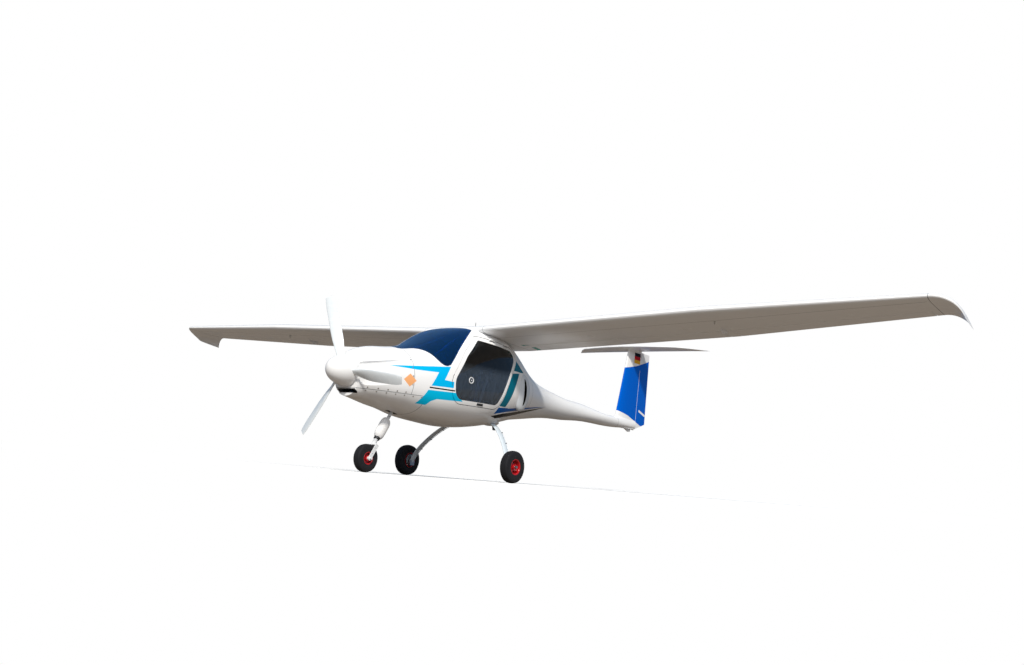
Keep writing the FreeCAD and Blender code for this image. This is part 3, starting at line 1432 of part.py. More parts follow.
cabin_floor, rear_bulkhead, instrument_panel, console, sticks, pedals = make_interior()
for label, shape in (("cabin_floor", cabin_floor), ("rear_bulkhead", rear_bulkhead),
                     ("instrument_panel", instrument_panel), ("centre_console", console),
                     ("control_sticks", sticks), ("rudder_pedals", pedals),
                     ("motor_mount", make_motor_mount()),
                     ("nose_leg", make_nose_leg(steering)), ("nose_fairing", make_nose_fairing(steering)),
                     ("nose_fork", make_nose_fork(steering))):
    nodes.append(piece(label, shape))
belly_antenna, tail_bumper, roof_antenna, horn = make_small_pieces()
nodes.append(piece("belly_antenna", belly_antenna))
nodes.append(piece("tail_bumper", tail_bumper))
nodes.append(piece("roof_antenna", roof_antenna))
horn_left = piece("horn_fairing_left", horn)
nodes += [horn_left, mirrored("horn_fairing_right", horn_left)]

main_tyre = make_tyre("main_tyre_left", "main")
main_hub = make_hub("main_hub_left", "main")
nose_tyre = make_tyre("nose_tyre", "nose")
nose_hub = make_hub("nose_hub", "nose")
for body, kind in ((main_tyre, "main"), (main_hub, "main"), (nose_tyre, "nose"), (nose_hub, "nose")):
    place_wheel(body, kind)
    nodes.append(body)
nodes.append(mirrored("main_tyre_right", main_tyre))
nodes.append(mirrored("main_hub_right", main_hub))

# Motor and batteries: heavy masses that are closed in, as plain blocks bound to the sheet.
motor = primitive("Cylinder", "motor_disc", Radius="Sizes.motor_radius", Height="Sizes.motor_length")
motor.Placement = Placement(Vector(0, 0, 0), Rotation(Vector(1, 0, 0), -90))
motor.setExpression("Placement.Base.y", "Sizes.motor_station - Sizes.overall_length / 2")
motor.setExpression("Placement.Base.z", "Sizes.thrust_line_height")
shaft_bore = primitive("Cylinder", "motor_bore", Radius="Sizes.shaft_radius + Sizes.pin_clearance",
                       Height="Sizes.shaft_engagement * 2")
shaft_bore.Placement = Placement(Vector(0, 0, 0), Rotation(Vector(1, 0, 0), -90))
shaft_bore.setExpression("Placement.Base.y",
                         "Sizes.motor_station - Sizes.shaft_engagement - Sizes.overall_length / 2")
shaft_bore.setExpression("Placement.Base.z", "Sizes.thrust_line_height")
motor_block = doc.addObject("Part::Cut", "motor")
motor_block.Label = "motor"
motor_block.Base = motor
motor_block.Tool = shaft_bore
shaft = primitive("Cylinder", "propeller_shaft", Radius="Sizes.shaft_radius",
                  Height="Sizes.motor_station + Sizes.shaft_engagement - Sizes.propeller_station"
                         " - Sizes.hub_length / 2 - Sizes.moving_gap")
shaft.Placement = Placement(Vector(0, 0, 0), Rotation(Vector(1, 0, 0), -90))
shaft.setExpression("Placement.Base.y",
                    "Sizes.propeller_station + Sizes.hub_length / 2 - Sizes.overall_length / 2")
shaft.setExpression("Placement.Base.z", "Sizes.thrust_line_height")
nodes += [motor_block, shaft]
for label, station, base in (
        ("battery_front", "Sizes.firewall_station - Sizes.battery_length", "Sizes.battery_front_base"),
        ("battery_rear", "Sizes.bulkhead_station + Sizes.bulkhead_thickness + Sizes.battery_rear_gap",
         "Sizes.battery_rear_base")):
    battery = primitive("Box", label, Length="Sizes.battery_width", Width="Sizes.battery_length",
                        Height="Sizes.battery_height")
    battery.setExpression("Placement.Base.x", "-Sizes.battery_width / 2")
    battery.setExpression("Placement.Base.y", station + " - Sizes.overall_length / 2")
    battery.setExpression("Placement.Base.z", base)
    nodes.append(battery)

steer_base = steering.Base - Vector(0, mm("overall_length") / 2, 0)
print("steering at", steer_base, "along", steering.Rotation.multVec(Vector(0, 0, 1)))

doc.recompute()
for thing in doc.Objects:
    if "Invalid" in thing.State or "Error" in thing.State:
        raise RuntimeError(thing.Label + " failed to build")
for node in nodes:
    if node.Shape.isNull() or not node.Shape.isValid():
        print("BAD SHAPE", node.Label)
os.makedirs("parts", exist_ok=True)
for node in nodes:
    bounds = node.Shape.BoundBox
    print("%-22s solids %d volume %9.5f  x %8.1f %8.1f  y %8.1f %8.1f  z %7.1f %7.1f"
          % (node.Label, len(node.Shape.Solids), node.Shape.Volume / 1e9, bounds.XMin, bounds.XMax,
             bounds.YMin, bounds.YMax, bounds.ZMin, bounds.ZMax))
    node.Shape.exportStep(os.path.join("parts", node.Label + ".step"))
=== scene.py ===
# %% [markdown]
# # A light aircraft, dressed in Blender
# The solids of the aircraft come from a CAD model: hull, wings, tail, doors, wheels and seats are
# already the right size and in the right place. This lesson gives them their looks. It paints the
# gelcoat with its stripes, tints the glass, and adds the pieces that make an aircraft believable
# close up: grooved tyres, padded seats with belts, an instrument panel, latches, screws and
# covers.

# %% Load the solids
import json
import math
import bmesh
import bpy
from mathutils import Matrix, Vector
from mathutils.bvhtree import BVHTree

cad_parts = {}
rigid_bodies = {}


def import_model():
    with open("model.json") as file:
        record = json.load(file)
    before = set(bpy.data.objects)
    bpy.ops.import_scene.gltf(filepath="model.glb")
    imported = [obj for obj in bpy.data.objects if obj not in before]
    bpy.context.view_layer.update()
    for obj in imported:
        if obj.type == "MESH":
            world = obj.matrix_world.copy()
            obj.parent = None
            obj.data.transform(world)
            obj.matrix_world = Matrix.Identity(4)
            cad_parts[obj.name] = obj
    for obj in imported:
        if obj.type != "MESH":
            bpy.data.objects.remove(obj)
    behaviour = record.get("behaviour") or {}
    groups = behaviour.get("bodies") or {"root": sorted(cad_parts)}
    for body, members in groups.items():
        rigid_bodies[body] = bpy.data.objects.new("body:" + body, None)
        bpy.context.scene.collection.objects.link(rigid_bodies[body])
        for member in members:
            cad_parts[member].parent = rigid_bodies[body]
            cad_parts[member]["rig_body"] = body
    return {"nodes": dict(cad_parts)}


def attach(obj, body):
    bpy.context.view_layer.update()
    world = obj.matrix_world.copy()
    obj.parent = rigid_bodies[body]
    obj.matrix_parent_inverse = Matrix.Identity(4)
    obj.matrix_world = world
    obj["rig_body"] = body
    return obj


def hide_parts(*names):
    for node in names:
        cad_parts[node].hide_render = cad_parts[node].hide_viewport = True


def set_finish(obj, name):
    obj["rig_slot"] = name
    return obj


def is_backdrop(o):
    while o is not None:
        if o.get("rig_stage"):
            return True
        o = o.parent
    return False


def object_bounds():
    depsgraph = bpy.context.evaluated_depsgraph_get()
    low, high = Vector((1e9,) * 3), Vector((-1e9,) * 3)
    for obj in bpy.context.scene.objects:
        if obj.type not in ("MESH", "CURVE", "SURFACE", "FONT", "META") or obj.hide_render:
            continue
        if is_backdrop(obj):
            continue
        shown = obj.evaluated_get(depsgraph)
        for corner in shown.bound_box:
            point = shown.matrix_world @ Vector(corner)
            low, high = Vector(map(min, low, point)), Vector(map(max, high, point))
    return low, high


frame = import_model()
nodes = frame["nodes"]
scene = bpy.context.scene
SIDES = (("left", 1), ("right", -1))
cad_low, cad_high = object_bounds()
print("solids:", len(nodes), "box:", [round(v, 3) for v in (*cad_low, *cad_high)])

# %% [markdown]
# Drawings of aircraft give each place as a station, a distance aft from the spinner's tip. The tip
# is the lowest Y of the solids, so one helper turns (across, aft, up) into a place in Blender.

# %% Places along the aircraft
spinner_tip = cad_low.y


def at(across, aft, up):
    """A place from metres left of the middle, aft of the spinner's tip and above the ground."""
    return Vector((across, spinner_tip + aft, up))


print("spinner tip at y", round(spinner_tip, 3))

# %% [markdown]
# ## Camera
# The aircraft was photographed with a long lens from ahead of its left wing and from below, with
# the horizon a little tilted. Here it stands on its wheels, so the camera lies on the floor, as
# low as it can be, and is rolled by the same angle.

# %% Camera
camera_height = 0.05
camera_distance = 12.0
camera_goal_aft = 2.6
camera_bearing = math.radians(37.84)
camera_pan = math.radians(-1.099)
camera_tilt = math.radians(8.251)
camera_roll = math.radians(4.41)
focal_pixels = 1005.9
picture_width = 1024
sensor_mm = 36.0
sight_limit = 400

camera_data = bpy.data.cameras.new("camera")
camera = bpy.data.objects.new("camera", camera_data)
scene.collection.objects.link(camera)
camera.location = (camera_distance * math.sin(camera_bearing),
                   at(0, camera_goal_aft, 0).y - camera_distance * math.cos(camera_bearing),
                   camera_height)
heading = camera_bearing + camera_pan
view_line = Vector((-math.sin(heading) * math.cos(camera_tilt),
                    math.cos(heading) * math.cos(camera_tilt), math.sin(camera_tilt)))
roll = Matrix.Rotation(camera_roll, 3, "Z").to_quaternion()
camera.rotation_mode = "QUATERNION"
camera.rotation_quaternion = view_line.to_track_quat("-Z", "Y") @ roll
camera_data.sensor_width = sensor_mm
camera_data.lens = focal_pixels * sensor_mm / picture_width
camera_data.clip_end = sight_limit
scene.camera = camera
scene.view_settings.view_transform = "Standard"
print("camera", [round(v, 2) for v in camera.location], "lens", round(camera_data.lens, 1), "mm")

# %% [markdown]
# ## Colours and nodes
# Paint makers and screens give a colour as an sRGB hex value, but a shader works in linear light.
# One function does that turn. A second one adds a shader node with its settings, values and links,
# which keeps each material below short enough to read. Real surfaces are never quite even, so a
# third one lets the gloss and a faint relief wander, and a fourth makes a whole material of two
# close tones.

# %% Colour and node helpers


def linear(hex_colour):
    """An sRGB hex colour as the linear RGBA that shaders use."""
    parts = [int(hex_colour[start:start + 2], 16) / 255 for start in (1, 3, 5)]
    return (*[part / 12.92 if part <= 0.04045 else ((part + 0.055) / 1.055) ** 2.4
              for part in parts], 1)


def add(tree, kind, sockets=(), **settings):
    """One shader node: settings are its properties, sockets pairs of an input and what goes in."""
    node = tree.nodes.new("ShaderNode" + kind)
    for name, value in settings.items():
        setattr(node, name, value)
    for name, value in sockets:
        if isinstance(value, bpy.types.NodeSocket):
            tree.links.new(value, node.inputs[name])
        else:
            node.inputs[name].default_value = value
    return node


def new_material(name, **shader):
    """A material with a Principled shader; shader gives plain values of its inputs."""
    material = bpy.data.materials.new(name)
    material.use_nodes = True
    surface = material.node_tree.nodes["Principled BSDF"]
    for socket, value in shader.items():
        surface.inputs[socket.replace("_", " ")].default_value = value
    return material, material.node_tree, surface


def wear(tree, surface, size_mm, low, high, bump=0.02):
    """Uneven gloss and faint bumps of a real size, on Object coordinates, which it hands back."""
    place = add(tree, "TexCoord").outputs["Object"]
    grain = add(tree, "TexNoise", [("Vector", place), ("Scale", 1000 / size_mm), ("Detail", 3.0)])
    gloss = add(tree, "MapRange", [("Value", grain.outputs["Fac"]), ("From Min", 0.3),
                                   ("From Max", 0.7), ("To Min", low), ("To Max", high)])
    tree.links.new(gloss.outputs["Result"], surface.inputs["Roughness"])
    relief = add(tree, "Bump", [("Strength", bump), ("Distance", size_mm / 4000),
                                ("Height", grain.outputs["Fac"])])
    tree.links.new(relief.outputs["Normal"], surface.inputs["Normal"])
    return place, grain.outputs["Fac"]


def two_tone(name, tones, size_mm, low, high, bump, **shader):
    """A material whose colour wanders between two tones, along with its gloss from low to high."""
    material, tree, surface = new_material(name, **shader)
    grain = wear(tree, surface, size_mm, low, high, bump)[1]
    tone = add(tree, "Mix", [(0, grain), (6, linear(tones[0])), (7, linear(tones[1]))],
               data_type="RGBA")
    tree.links.new(tone.outputs[2], surface.inputs["Base Color"])
    return material


def paint_nodes(material, *names):
    """Give CAD nodes a material."""
    for name in names:
        slots = nodes[name].data.materials
        slots.clear()
        slots.append(material)


print("mid grey #808080 is", round(linear("#808080")[0], 3), "in linear light")

# %% [markdown]
# ## Floor, sky and lamps
# The floor is a pale concrete apron. It shows the aircraft's shadow nearby and fades to the white
# of the background further out, so that no horizon line cuts the picture. To the eye it is pale,
# but the light that it throws back up is a duller, warmer grey, as an airfield's is, and that
# gives the belly and the underside of the wings their soft brown shade.

# %% Floor
FLOOR_HALF = 150
WHITE_STARTS, WHITE_FULL = 3.0, 7.0
floor_mesh = bpy.data.meshes.new("apron")
made = bmesh.new()
bmesh.ops.create_grid(made, x_segments=1, y_segments=1, size=FLOOR_HALF)
made.to_mesh(floor_mesh)
made.free()
apron = bpy.data.objects.new("apron", floor_mesh)
scene.collection.objects.link(apron)
apron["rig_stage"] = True

concrete, tree, surface = new_material("apron_concrete", Roughness=0.9, Specular_IOR_Level=0.1)
place = add(tree, "TexCoord").outputs["Object"]
pores = add(tree, "TexNoise", [("Vector", place), ("Scale", 6.0), ("Detail", 6.0)])
speckle = add(tree, "MapRange", [("Value", pores.outputs["Fac"]), ("To Min", 0.92),
                                 ("To Max", 1.0)])
rays = add(tree, "LightPath")
seen = add(tree, "Math", [(0, rays.outputs["Is Camera Ray"]),
                          (1, rays.outputs["Is Transmission Ray"])], operation="MAXIMUM")
tone = add(tree, "Mix", [(0, seen.outputs[0]), (6, linear("#82776B")), (7, linear("#F7F8F8"))],
           data_type="RGBA")
tone = add(tree, "Mix", [(0, 1.0), (6, tone.outputs[2]), (7, speckle.outputs["Result"])],
           data_type="RGBA", blend_type="MULTIPLY")
tree.links.new(tone.outputs[2], surface.inputs["Base Color"])
tree.links.new(tone.outputs[2], surface.inputs["Emission Color"])
lift = add(tree, "Math", [(0, seen.outputs[0]), (1, 0.2)], operation="MULTIPLY")
tree.links.new(lift.outputs[0], surface.inputs["Emission Strength"])
distance = add(tree, "VectorMath", [(0, place)], operation="LENGTH")
far = add(tree, "MapRange", [("Value", distance.outputs["Value"]), ("From Min", WHITE_STARTS),
                             ("From Max", WHITE_FULL)])
white_far = add(tree, "Math", [(0, far.outputs["Result"]), (1, seen.outputs[0])],
                operation="MULTIPLY")
glow = add(tree, "Emission", [("Color", (1, 1, 1, 1)), ("Strength", 1.0)])
blend = add(tree, "MixShader", [(0, white_far.outputs[0]), (1, surface.outputs[0]),
                                (2, glow.outputs[0])])
tree.links.new(blend.outputs[0], tree.nodes["Material Output"].inputs["Surface"])
floor_mesh.materials.append(concrete)
print("floor of", 2 * FLOOR_HALF, "metres, white from", WHITE_FULL, "metres out")

# %% [markdown]
# The sky behind the aircraft is plain white, as in a cut-out picture, but what the paint and the
# panes mirror is a light blue sky, and the soft light that fills the shadows is a little blue too.
# One sun stands ahead of the left wing, and a wide lamp beside it fills the side that the camera
# sees. Both stand above the wing, so nothing lights the underside but the floor.

# %% Sky and lamps
world = bpy.data.worlds.new("studio")
scene.world = world
world.use_nodes = True
tree = world.node_tree
rays = add(tree, "LightPath")
seen = add(tree, "Math", [(0, rays.outputs["Is Camera Ray"]),
                          (1, rays.outputs["Is Transmission Ray"])], operation="MAXIMUM")
soft = add(tree, "Background", [("Color", linear("#E4EDFA")), ("Strength", 0.5)])
mirrored_sky = add(tree, "Background", [("Color", linear("#8AB8EA")), ("Strength", 0.42)])
white = add(tree, "Background", [("Color", (1, 1, 1, 1)), ("Strength", 1.0)])
sky = add(tree, "MixShader", [(0, rays.outputs["Is Glossy Ray"]), (1, soft.outputs[0]),
                              (2, mirrored_sky.outputs[0])])
sky = add(tree, "MixShader", [(0, seen.outputs[0]), (1, sky.outputs[0]), (2, white.outputs[0])])
tree.links.new(sky.outputs[0], tree.nodes["World Output"].inputs["Surface"])


def lamp(name, kind, place, energy, **settings):
    """A lamp at a place, aimed at the ground below the middle of the aircraft."""
    data = bpy.data.lights.new(name, kind)
    data.energy = energy
    for key, value in settings.items():
        setattr(data, key, value)
    thing = bpy.data.objects.new(name, data)
    thing.location = place
    thing.rotation_euler = (-Vector(place)).to_track_quat("-Z", "Y").to_euler()
    scene.collection.objects.link(thing)
    print(name, kind.lower(), energy)


sun_place, fill_place = (5.8, -7.0, 7.4), (10.0, -12.0, 7.5)
lamp("sun", "SUN", sun_place, 3.0, angle=math.radians(6), color=linear("#FFF8EE")[:3])
lamp("front_fill", "AREA", fill_place, 500.0, size=6.0)

# %% [markdown]
# ## Gelcoat and its stripes
# The hull is laid up in glass fibre with a white polyurethane gelcoat, which is smooth, glossy and
# a touch uneven where the moulds meet. The stripes are foil, so they share its gloss. They are
# drawn in side view as flat outlines: a point is inside a convex outline where it lies on the
# inner side of every edge, which is one dot product an edge. The same outline paints both sides of
# the hull.

# %% Outlines as masks


def flat_place(tree, first, second):
    """A vector (1, first, second) from Object coordinates, for the outlines' dot products."""
    place = add(tree, "TexCoord").outputs["Object"]
    split = add(tree, "SeparateXYZ", [(0, place)])
    values = []
    for axis in (first, second):
        output = split.outputs[axis.upper()]
        if axis == "y":
            output = add(tree, "Math", [(0, output), (1, spinner_tip)],
                         operation="SUBTRACT").outputs[0]
        values.append(output)
    return add(tree, "CombineXYZ", [(0, 1.0), (1, values[0]), (2, values[1])]).outputs[0]


def inside(tree, flat, corners, blur=0.0025):
    """A mask that is 1 inside a convex outline, whose corners run round it either way."""
    turn = sum(a[0] * b[1] - b[0] * a[1] for a, b in zip(corners, corners[1:] + corners[:1]))
    if turn < 0:
        corners = corners[::-1]
    nearest = None
    for (ax, ay), (bx, by) in zip(corners, corners[1:] + corners[:1]):
        length = math.hypot(bx - ax, by - ay)
        nx, ny = -(by - ay) / length, (bx - ax) / length
        edge = add(tree, "VectorMath", [(0, flat), (1, (-(nx * ax + ny * ay), nx, ny))],
                   operation="DOT_PRODUCT").outputs["Value"]
        if nearest is not None:
            edge = add(tree, "Math", [(0, nearest), (1, edge)], operation="MINIMUM").outputs[0]
        nearest = edge
    return add(tree, "MapRange", [("Value", nearest), ("From Min", -blur),
                                  ("From Max", 0)]).outputs[0]


def any_of(tree, masks):
    """A mask that is 1 where any of the masks is."""
    found = masks[0]
    for mask in masks[1:]:
        found = add(tree, "Math", [(0, found), (1, mask)], operation="MAXIMUM").outputs[0]
    return found


def oval(across, up, half_width, half_height):
    """Sixteen corners of an upright oval."""
    turns = [math.tau * step / 16 for step in range(16)]
    return [(across + half_width * math.cos(turn), up + half_height * math.sin(turn))
            for turn in turns]


def strip(start, end, width):
    """The four corners of a straight strip."""
    a, b = Vector(start), Vector(end)
    side = (b - a).normalized().orthogonal() * (width / 2)
    return [tuple(a + side), tuple(b + side), tuple(b - side), tuple(a - side)]


print("a strip 4 mm wide:", strip((0, 0), (1, 0), 0.004))

# %% [markdown]
# The coat itself is one function, because every gelcoat here differs only in its shapes and base
# colour. It starts from the base, mixes each foil's colour in where the foil's mask is 1, and ends
# with a faint dust tone over all. The hull's inside is left grey: the solid has no material of its
# own there, so a face counts as inner where it doesn't look away from the hull's middle line.

# %% Gelcoat with foil shapes
HULL_MIDDLE_UP = 1.08
CABIN_SIDE_VIEW = [(0.85, 0.55), (2.75, 0.55), (2.75, 1.75), (0.85, 1.75)]


def painted(name, plane, layers, base="#F4F6F8", lining=False, gloss=0.08):
    """Glossy gelcoat with foil shapes on it, as (colour, outlines) layers, painted in turn."""
    material, tree, surface = new_material(name, Coat_Weight=0.05, Coat_Roughness=0.04,
                                           Specular_IOR_Level=gloss)
    place = wear(tree, surface, 90, 0.16, 0.26, 0.012)[0]
    dust = add(tree, "TexNoise", [("Vector", place), ("Scale", 1.4), ("Detail", 5.0)])
    shade = add(tree, "MapRange", [("Value", dust.outputs["Fac"]), ("To Min", 0.96),
                                   ("To Max", 1.0)])
    flat = flat_place(tree, *plane)
    colour = linear(base)
    for foil, outlines in layers:
        mask = any_of(tree, [inside(tree, flat, outline) for outline in outlines])
        colour = add(tree, "Mix", [(0, mask), (6, colour), (7, linear(foil))],
                     data_type="RGBA").outputs[2]
    if lining:
        # the inner skin and the firewall don't face away from the hull's middle line: left grey
        centre = add(tree, "VectorMath", [(0, place), (1, (1.0, 0.0, 1.0))], operation="MULTIPLY")
        centre = add(tree, "VectorMath", [(0, centre.outputs[0]),
                                          (1, (0.0, 0.0, -HULL_MIDDLE_UP))])
        outward = add(tree, "VectorMath", [(0, add(tree, "NewGeometry").outputs["Normal"]),
                                           (1, centre.outputs[0])], operation="DOT_PRODUCT")
        inner = add(tree, "Math", [(0, outward.outputs["Value"]), (1, 0.012)],
                    operation="LESS_THAN")
        cabin = inside(tree, flat, CABIN_SIDE_VIEW)
        inner = add(tree, "Math", [(0, inner.outputs[0]), (1, cabin)], operation="MULTIPLY")
        colour = add(tree, "Mix", [(0, inner.outputs[0]), (6, colour), (7, linear("#4E5256"))],
                     data_type="RGBA").outputs[2]
    final = add(tree, "Mix", [(0, 1.0), (6, colour), (7, shade.outputs[0])], data_type="RGBA",
                blend_type="MULTIPLY")
    tree.links.new(final.outputs[2], surface.inputs["Base Color"])
    print(name, "with", sum(len(outlines) for foil, outlines in layers), "foil shapes")
    return material


print("the hull's grey inside lies in side view within", CABIN_SIDE_VIEW)

# %% [markdown]
# The hull's stripes: a bright cyan flash on the nose that starts as a point, steps down ahead of
# the door and runs under it, a teal band up behind the door, and a dark blue wedge over a black
# one that taper away along the tail boom. Panel joints are thin grey strips, drawn 4 mm wide so
# that they show. The mouth of the air scoop behind the door is painted black: painted shade that
# stands in for the dark inside of the slot.

# %% Hull paint
SEAM = "#9CA1A5"
# painted shade: the scoop's mouth is painted black in place of the shade inside the slot
SCOOP_MOUTH_SHADE = oval(2.600, 1.052, 0.019, 0.158)
hull_seams = [
    strip((0.27, 0.830), (1.04, 0.830), 0.004), strip((0.85, 0.830), (0.85, 1.40), 0.004),
    strip((1.04, 0.600), (1.04, 0.830), 0.004), strip((2.94, 0.60), (2.94, 1.60), 0.003),
    strip((5.56, 0.80), (5.56, 1.12), 0.003),
]
hull_paint_and_shade = painted("hull_gelcoat_and_shade", "yz", [
    (SEAM, hull_seams),
    ("#00B9F5", [
        [(0.559, 1.097), (1.312, 1.178), (1.160, 1.101), (0.912, 1.094)],
        [(1.160, 1.101), (1.312, 1.178), (1.220, 1.000), (1.073, 0.951)],
        [(1.195, 1.030), (1.360, 1.021), (1.360, 0.958), (1.073, 0.951)],
    ]),
    ("#08080C", [strip((1.053, 0.929), (1.385, 0.929), 0.012)]),
    ("#00BDEC", [
        [(1.042, 0.901), (1.400, 0.909), (1.520, 0.829), (1.160, 0.818)],
        [(1.042, 0.901), (1.180, 0.880), (1.179, 0.821), (1.115, 0.792)],
        [(1.042, 0.901), (1.120, 0.800), (1.076, 0.746), (0.956, 0.750)],
    ]),
    ("#006E86", [
        [(2.332, 1.237), (2.500, 1.258), (2.291, 0.848), (2.157, 0.848)],
        [(2.360, 1.265), (2.430, 1.395), (2.640, 1.275), (2.540, 1.275)],
    ]),
    ("#005AAC", [
        [(2.156, 0.830), (2.132, 0.755), (2.364, 0.800), (2.364, 0.842)],
        [(2.364, 0.842), (2.364, 0.800), (3.582, 0.983), (2.888, 0.900)],
    ]),
    ("#08080C", [
        [(2.110, 0.728), (2.251, 0.714), (2.400, 0.745), (2.305, 0.772)],
        [(2.305, 0.772), (2.300, 0.722), (2.729, 0.799), (3.453, 0.952)],
    ]),
    ("#F7B27A", [[(0.798, 1.040), (0.876, 0.975), (0.803, 0.908), (0.722, 0.975)]]),
    # painted shade in the scoop's mouth
    ("#020203", [SCOOP_MOUTH_SHADE]),
], lining=True)
paint_nodes(hull_paint_and_shade, "fuselage", "cowl_upper", "cowl_lower", "door_left", "door_right")

# %% [markdown]
# The fin carries a deep blue field that rises towards the rudder, with three plain bars near its
# top and a paler strip along the hinge. Low on the rudder is one small white dash.

# %% Fin and rudder paint
fin_paint = painted("fin_gelcoat", "yz", [
    ("#0060D0", [
        [(5.560, 1.150), (5.710, 1.760), (5.860, 1.788), (5.860, 1.090)],
        [(5.850, 1.095), (5.850, 1.786), (6.090, 1.834), (6.090, 1.026)],
        [(6.080, 1.030), (6.080, 1.832), (6.550, 1.968), (6.550, 0.900)],
    ]),
    ("#DCE6F2", [strip((6.124, 0.960), (6.190, 1.780), 0.007)]),
    ("#F4F6F8", [strip((6.225, 1.185), (6.455, 1.125), 0.030)]),
    ("#101216", [strip((6.010, 2.000), (6.190, 2.000), 0.052)]),
    ("#C01018", [strip((6.005, 1.948), (6.185, 1.948), 0.052)]),
    ("#E8AE20", [strip((6.000, 1.896), (6.180, 1.896), 0.052)]),
], gloss=0.03)
paint_nodes(fin_paint, "fin", "rudder")

# %% [markdown]
# The wings are white above and below. Small teal marks sit at the flap's root, and the joint lines
# of the mould show as fine grey strips. The scoops behind the doors, the legs and the legs' covers
# come from other moulds, and their white is greyer or bluer, so each has a coat of its own.

# %% Wing and tail paint
WING_ROOT, TIP_JOINT = 0.425, 5.128
wing_seams = [strip((-5.1, 2.12), (5.1, 2.12), 0.003)]
teal_marks = []
for side, sign in SIDES:
    for across in (WING_ROOT, TIP_JOINT):
        wing_seams.append(strip((sign * across, 1.80), (sign * across, 2.90), 0.004))
    for mark in ([(0.50, 2.50), (0.62, 2.54), (0.50, 2.555)],
                 [(0.545, 2.66), (0.60, 2.66), (0.575, 2.83), (0.52, 2.83)]):
        teal_marks.append([(sign * across, aft) for across, aft in mark])
wing_paint = painted("wing_gelcoat", "xy", [(SEAM, wing_seams), ("#12998C", teal_marks)])
paint_nodes(wing_paint, "wing_centre")
for side, sign in SIDES:
    for part in ("wing_", "wing_tip_", "flap_", "aileron_", "horn_fairing_"):
        paint_nodes(wing_paint, part + side)
plain_paint = painted("plain_gelcoat", "xy", [(SEAM, [strip((-0.9, 6.02), (0.9, 6.02), 0.002)])])
paint_nodes(plain_paint, "tailplane", "elevator", "tail_bumper", "spinner", "nose_fairing")
# the scoop's greyer gelcoat, with its mouth painted black as painted shade
scoop_paint_and_shade = painted("scoop_gelcoat_and_shade", "yz", [("#020203", [SCOOP_MOUTH_SHADE])],
                      base="#D3DAE1")
paint_nodes(scoop_paint_and_shade, "side_scoop_left", "side_scoop_right")
leg_paint = painted("leg_gelcoat", "xz", [(SEAM, [strip((-0.9, 0.66), (0.9, 0.66), 0.002)])],
                    base="#D6E2EC")
paint_nodes(leg_paint, "main_leg_left", "main_leg_right")
cover_paint = painted("cover_gelcoat", "xz", [(SEAM, [strip((-0.9, 0.60), (0.9, 0.60), 0.002)])],
                      base="#E6EAEE")
paint_nodes(cover_paint, "leg_cover_left", "leg_cover_right", "nose_leg", "nose_fork")

# %% [markdown]
# ## Acrylic windows
# Light aircraft have blown acrylic windows, tinted against the sun. Acrylic bends light a little
# less than glass does, with an index of 1.49. The windshield's tint is a strong blue that scatters
# some light, so the pane has a colour of its own besides what is seen through it. The door's pane
# is only smoked, and darker above, where a sun band is sprayed on. Blown sheet is even over 400 mm
# or so.

# %% Tinted acrylic


def acrylic(name, tones, tone_heights, clear, level):
    """Blown acrylic whose tint runs from one tone to another between two heights."""
    material, tree, surface = new_material(name, Transmission_Weight=clear, IOR=1.49,
                                           Specular_IOR_Level=level)
    place = wear(tree, surface, 400, 0.015, 0.035, 0.01)[0]
    height = add(tree, "SeparateXYZ", [(0, place)]).outputs["Z"]
    up = add(tree, "MapRange", [("Value", height), ("From Min", tone_heights[0]),
                                ("From Max", tone_heights[1])])
    tint = add(tree, "Mix", [(0, up.outputs[0]), (6, linear(tones[0])), (7, linear(tones[1]))],
               data_type="RGBA")
    tree.links.new(tint.outputs[2], surface.inputs["Base Color"])
    return material


blue_acrylic = acrylic("tinted_acrylic", ("#005092", "#0058A2"), (1.2, 1.68), 0.86, 0.1)
paint_nodes(blue_acrylic, "windshield")
smoked_acrylic = acrylic("smoked_acrylic", ("#8A98A8", "#34363A"), (1.18, 1.26), 0.91, 0.08)
paint_nodes(smoked_acrylic, "door_window_left", "door_window_right")
print("two acrylics")

# %% [markdown]
# ## Metals, rubber and trim
# The axles, the motor's mount and the propeller's shaft are steel, blasted and lacquered, which
# leaves a soft gloss. The wheels are spun aluminium with red enamel, and the cabin is trimmed in
# dark moulded ABS, with a grain of 3 mm, a little coarser than the real one so that it shows.

# %% Metals and trim
steel = two_tone("lacquered_steel", ("#9EA3A8", "#C4C8CC"), 12, 0.28, 0.45, 0.06, Metallic=1.0)
paint_nodes(steel, "main_axle_left", "main_axle_right", "motor_mount", "propeller_shaft")

enamel = two_tone("red_enamel", ("#A80F16", "#CC1C24"), 25, 0.18, 0.3, 0.03,
                  Coat_Weight=0.7, Coat_Roughness=0.05)
paint_nodes(enamel, "main_hub_left", "main_hub_right", "nose_hub")

moulded = two_tone("moulded_abs", ("#24272B", "#30343A"), 3, 0.5, 0.65, 0.15,
                   Specular_IOR_Level=0.4)
paint_nodes(moulded, "cabin_floor", "rear_bulkhead", "instrument_panel", "centre_console",
            "control_sticks", "rudder_pedals", "belly_antenna", "roof_antenna", "motor",
            "battery_front", "battery_rear", "seat_left", "seat_right")
print("steel, enamel and moulded trim")

# %% [markdown]
# The propeller is a composite one with a pale grey-white gelcoat, polished along with the rest, so
# it has a clear gloss and only a slow change of tone along the blade.

# %% Propeller
blade_paint = two_tone("blade_gelcoat", ("#DDE6EC", "#EDF3F7"), 60, 0.2, 0.3, 0.02,
                       Coat_Weight=0.5, Coat_Roughness=0.05)
paint_nodes(blade_paint, "propeller_blades")
print("painted nodes so far:", sum(bool(thing.data.materials) for thing in nodes.values()))

# %% [markdown]
# ## Tools for the small pieces
# Most fittings of an aircraft are turned, bent or pressed, so a few helpers are enough. Each one
# starts a bmesh, shapes it with operators, and hands it to one function that gives it a material
# and lets it ride on the part of the aircraft that carries it. That function also points all faces
# outwards.

# %% From a bmesh to a piece


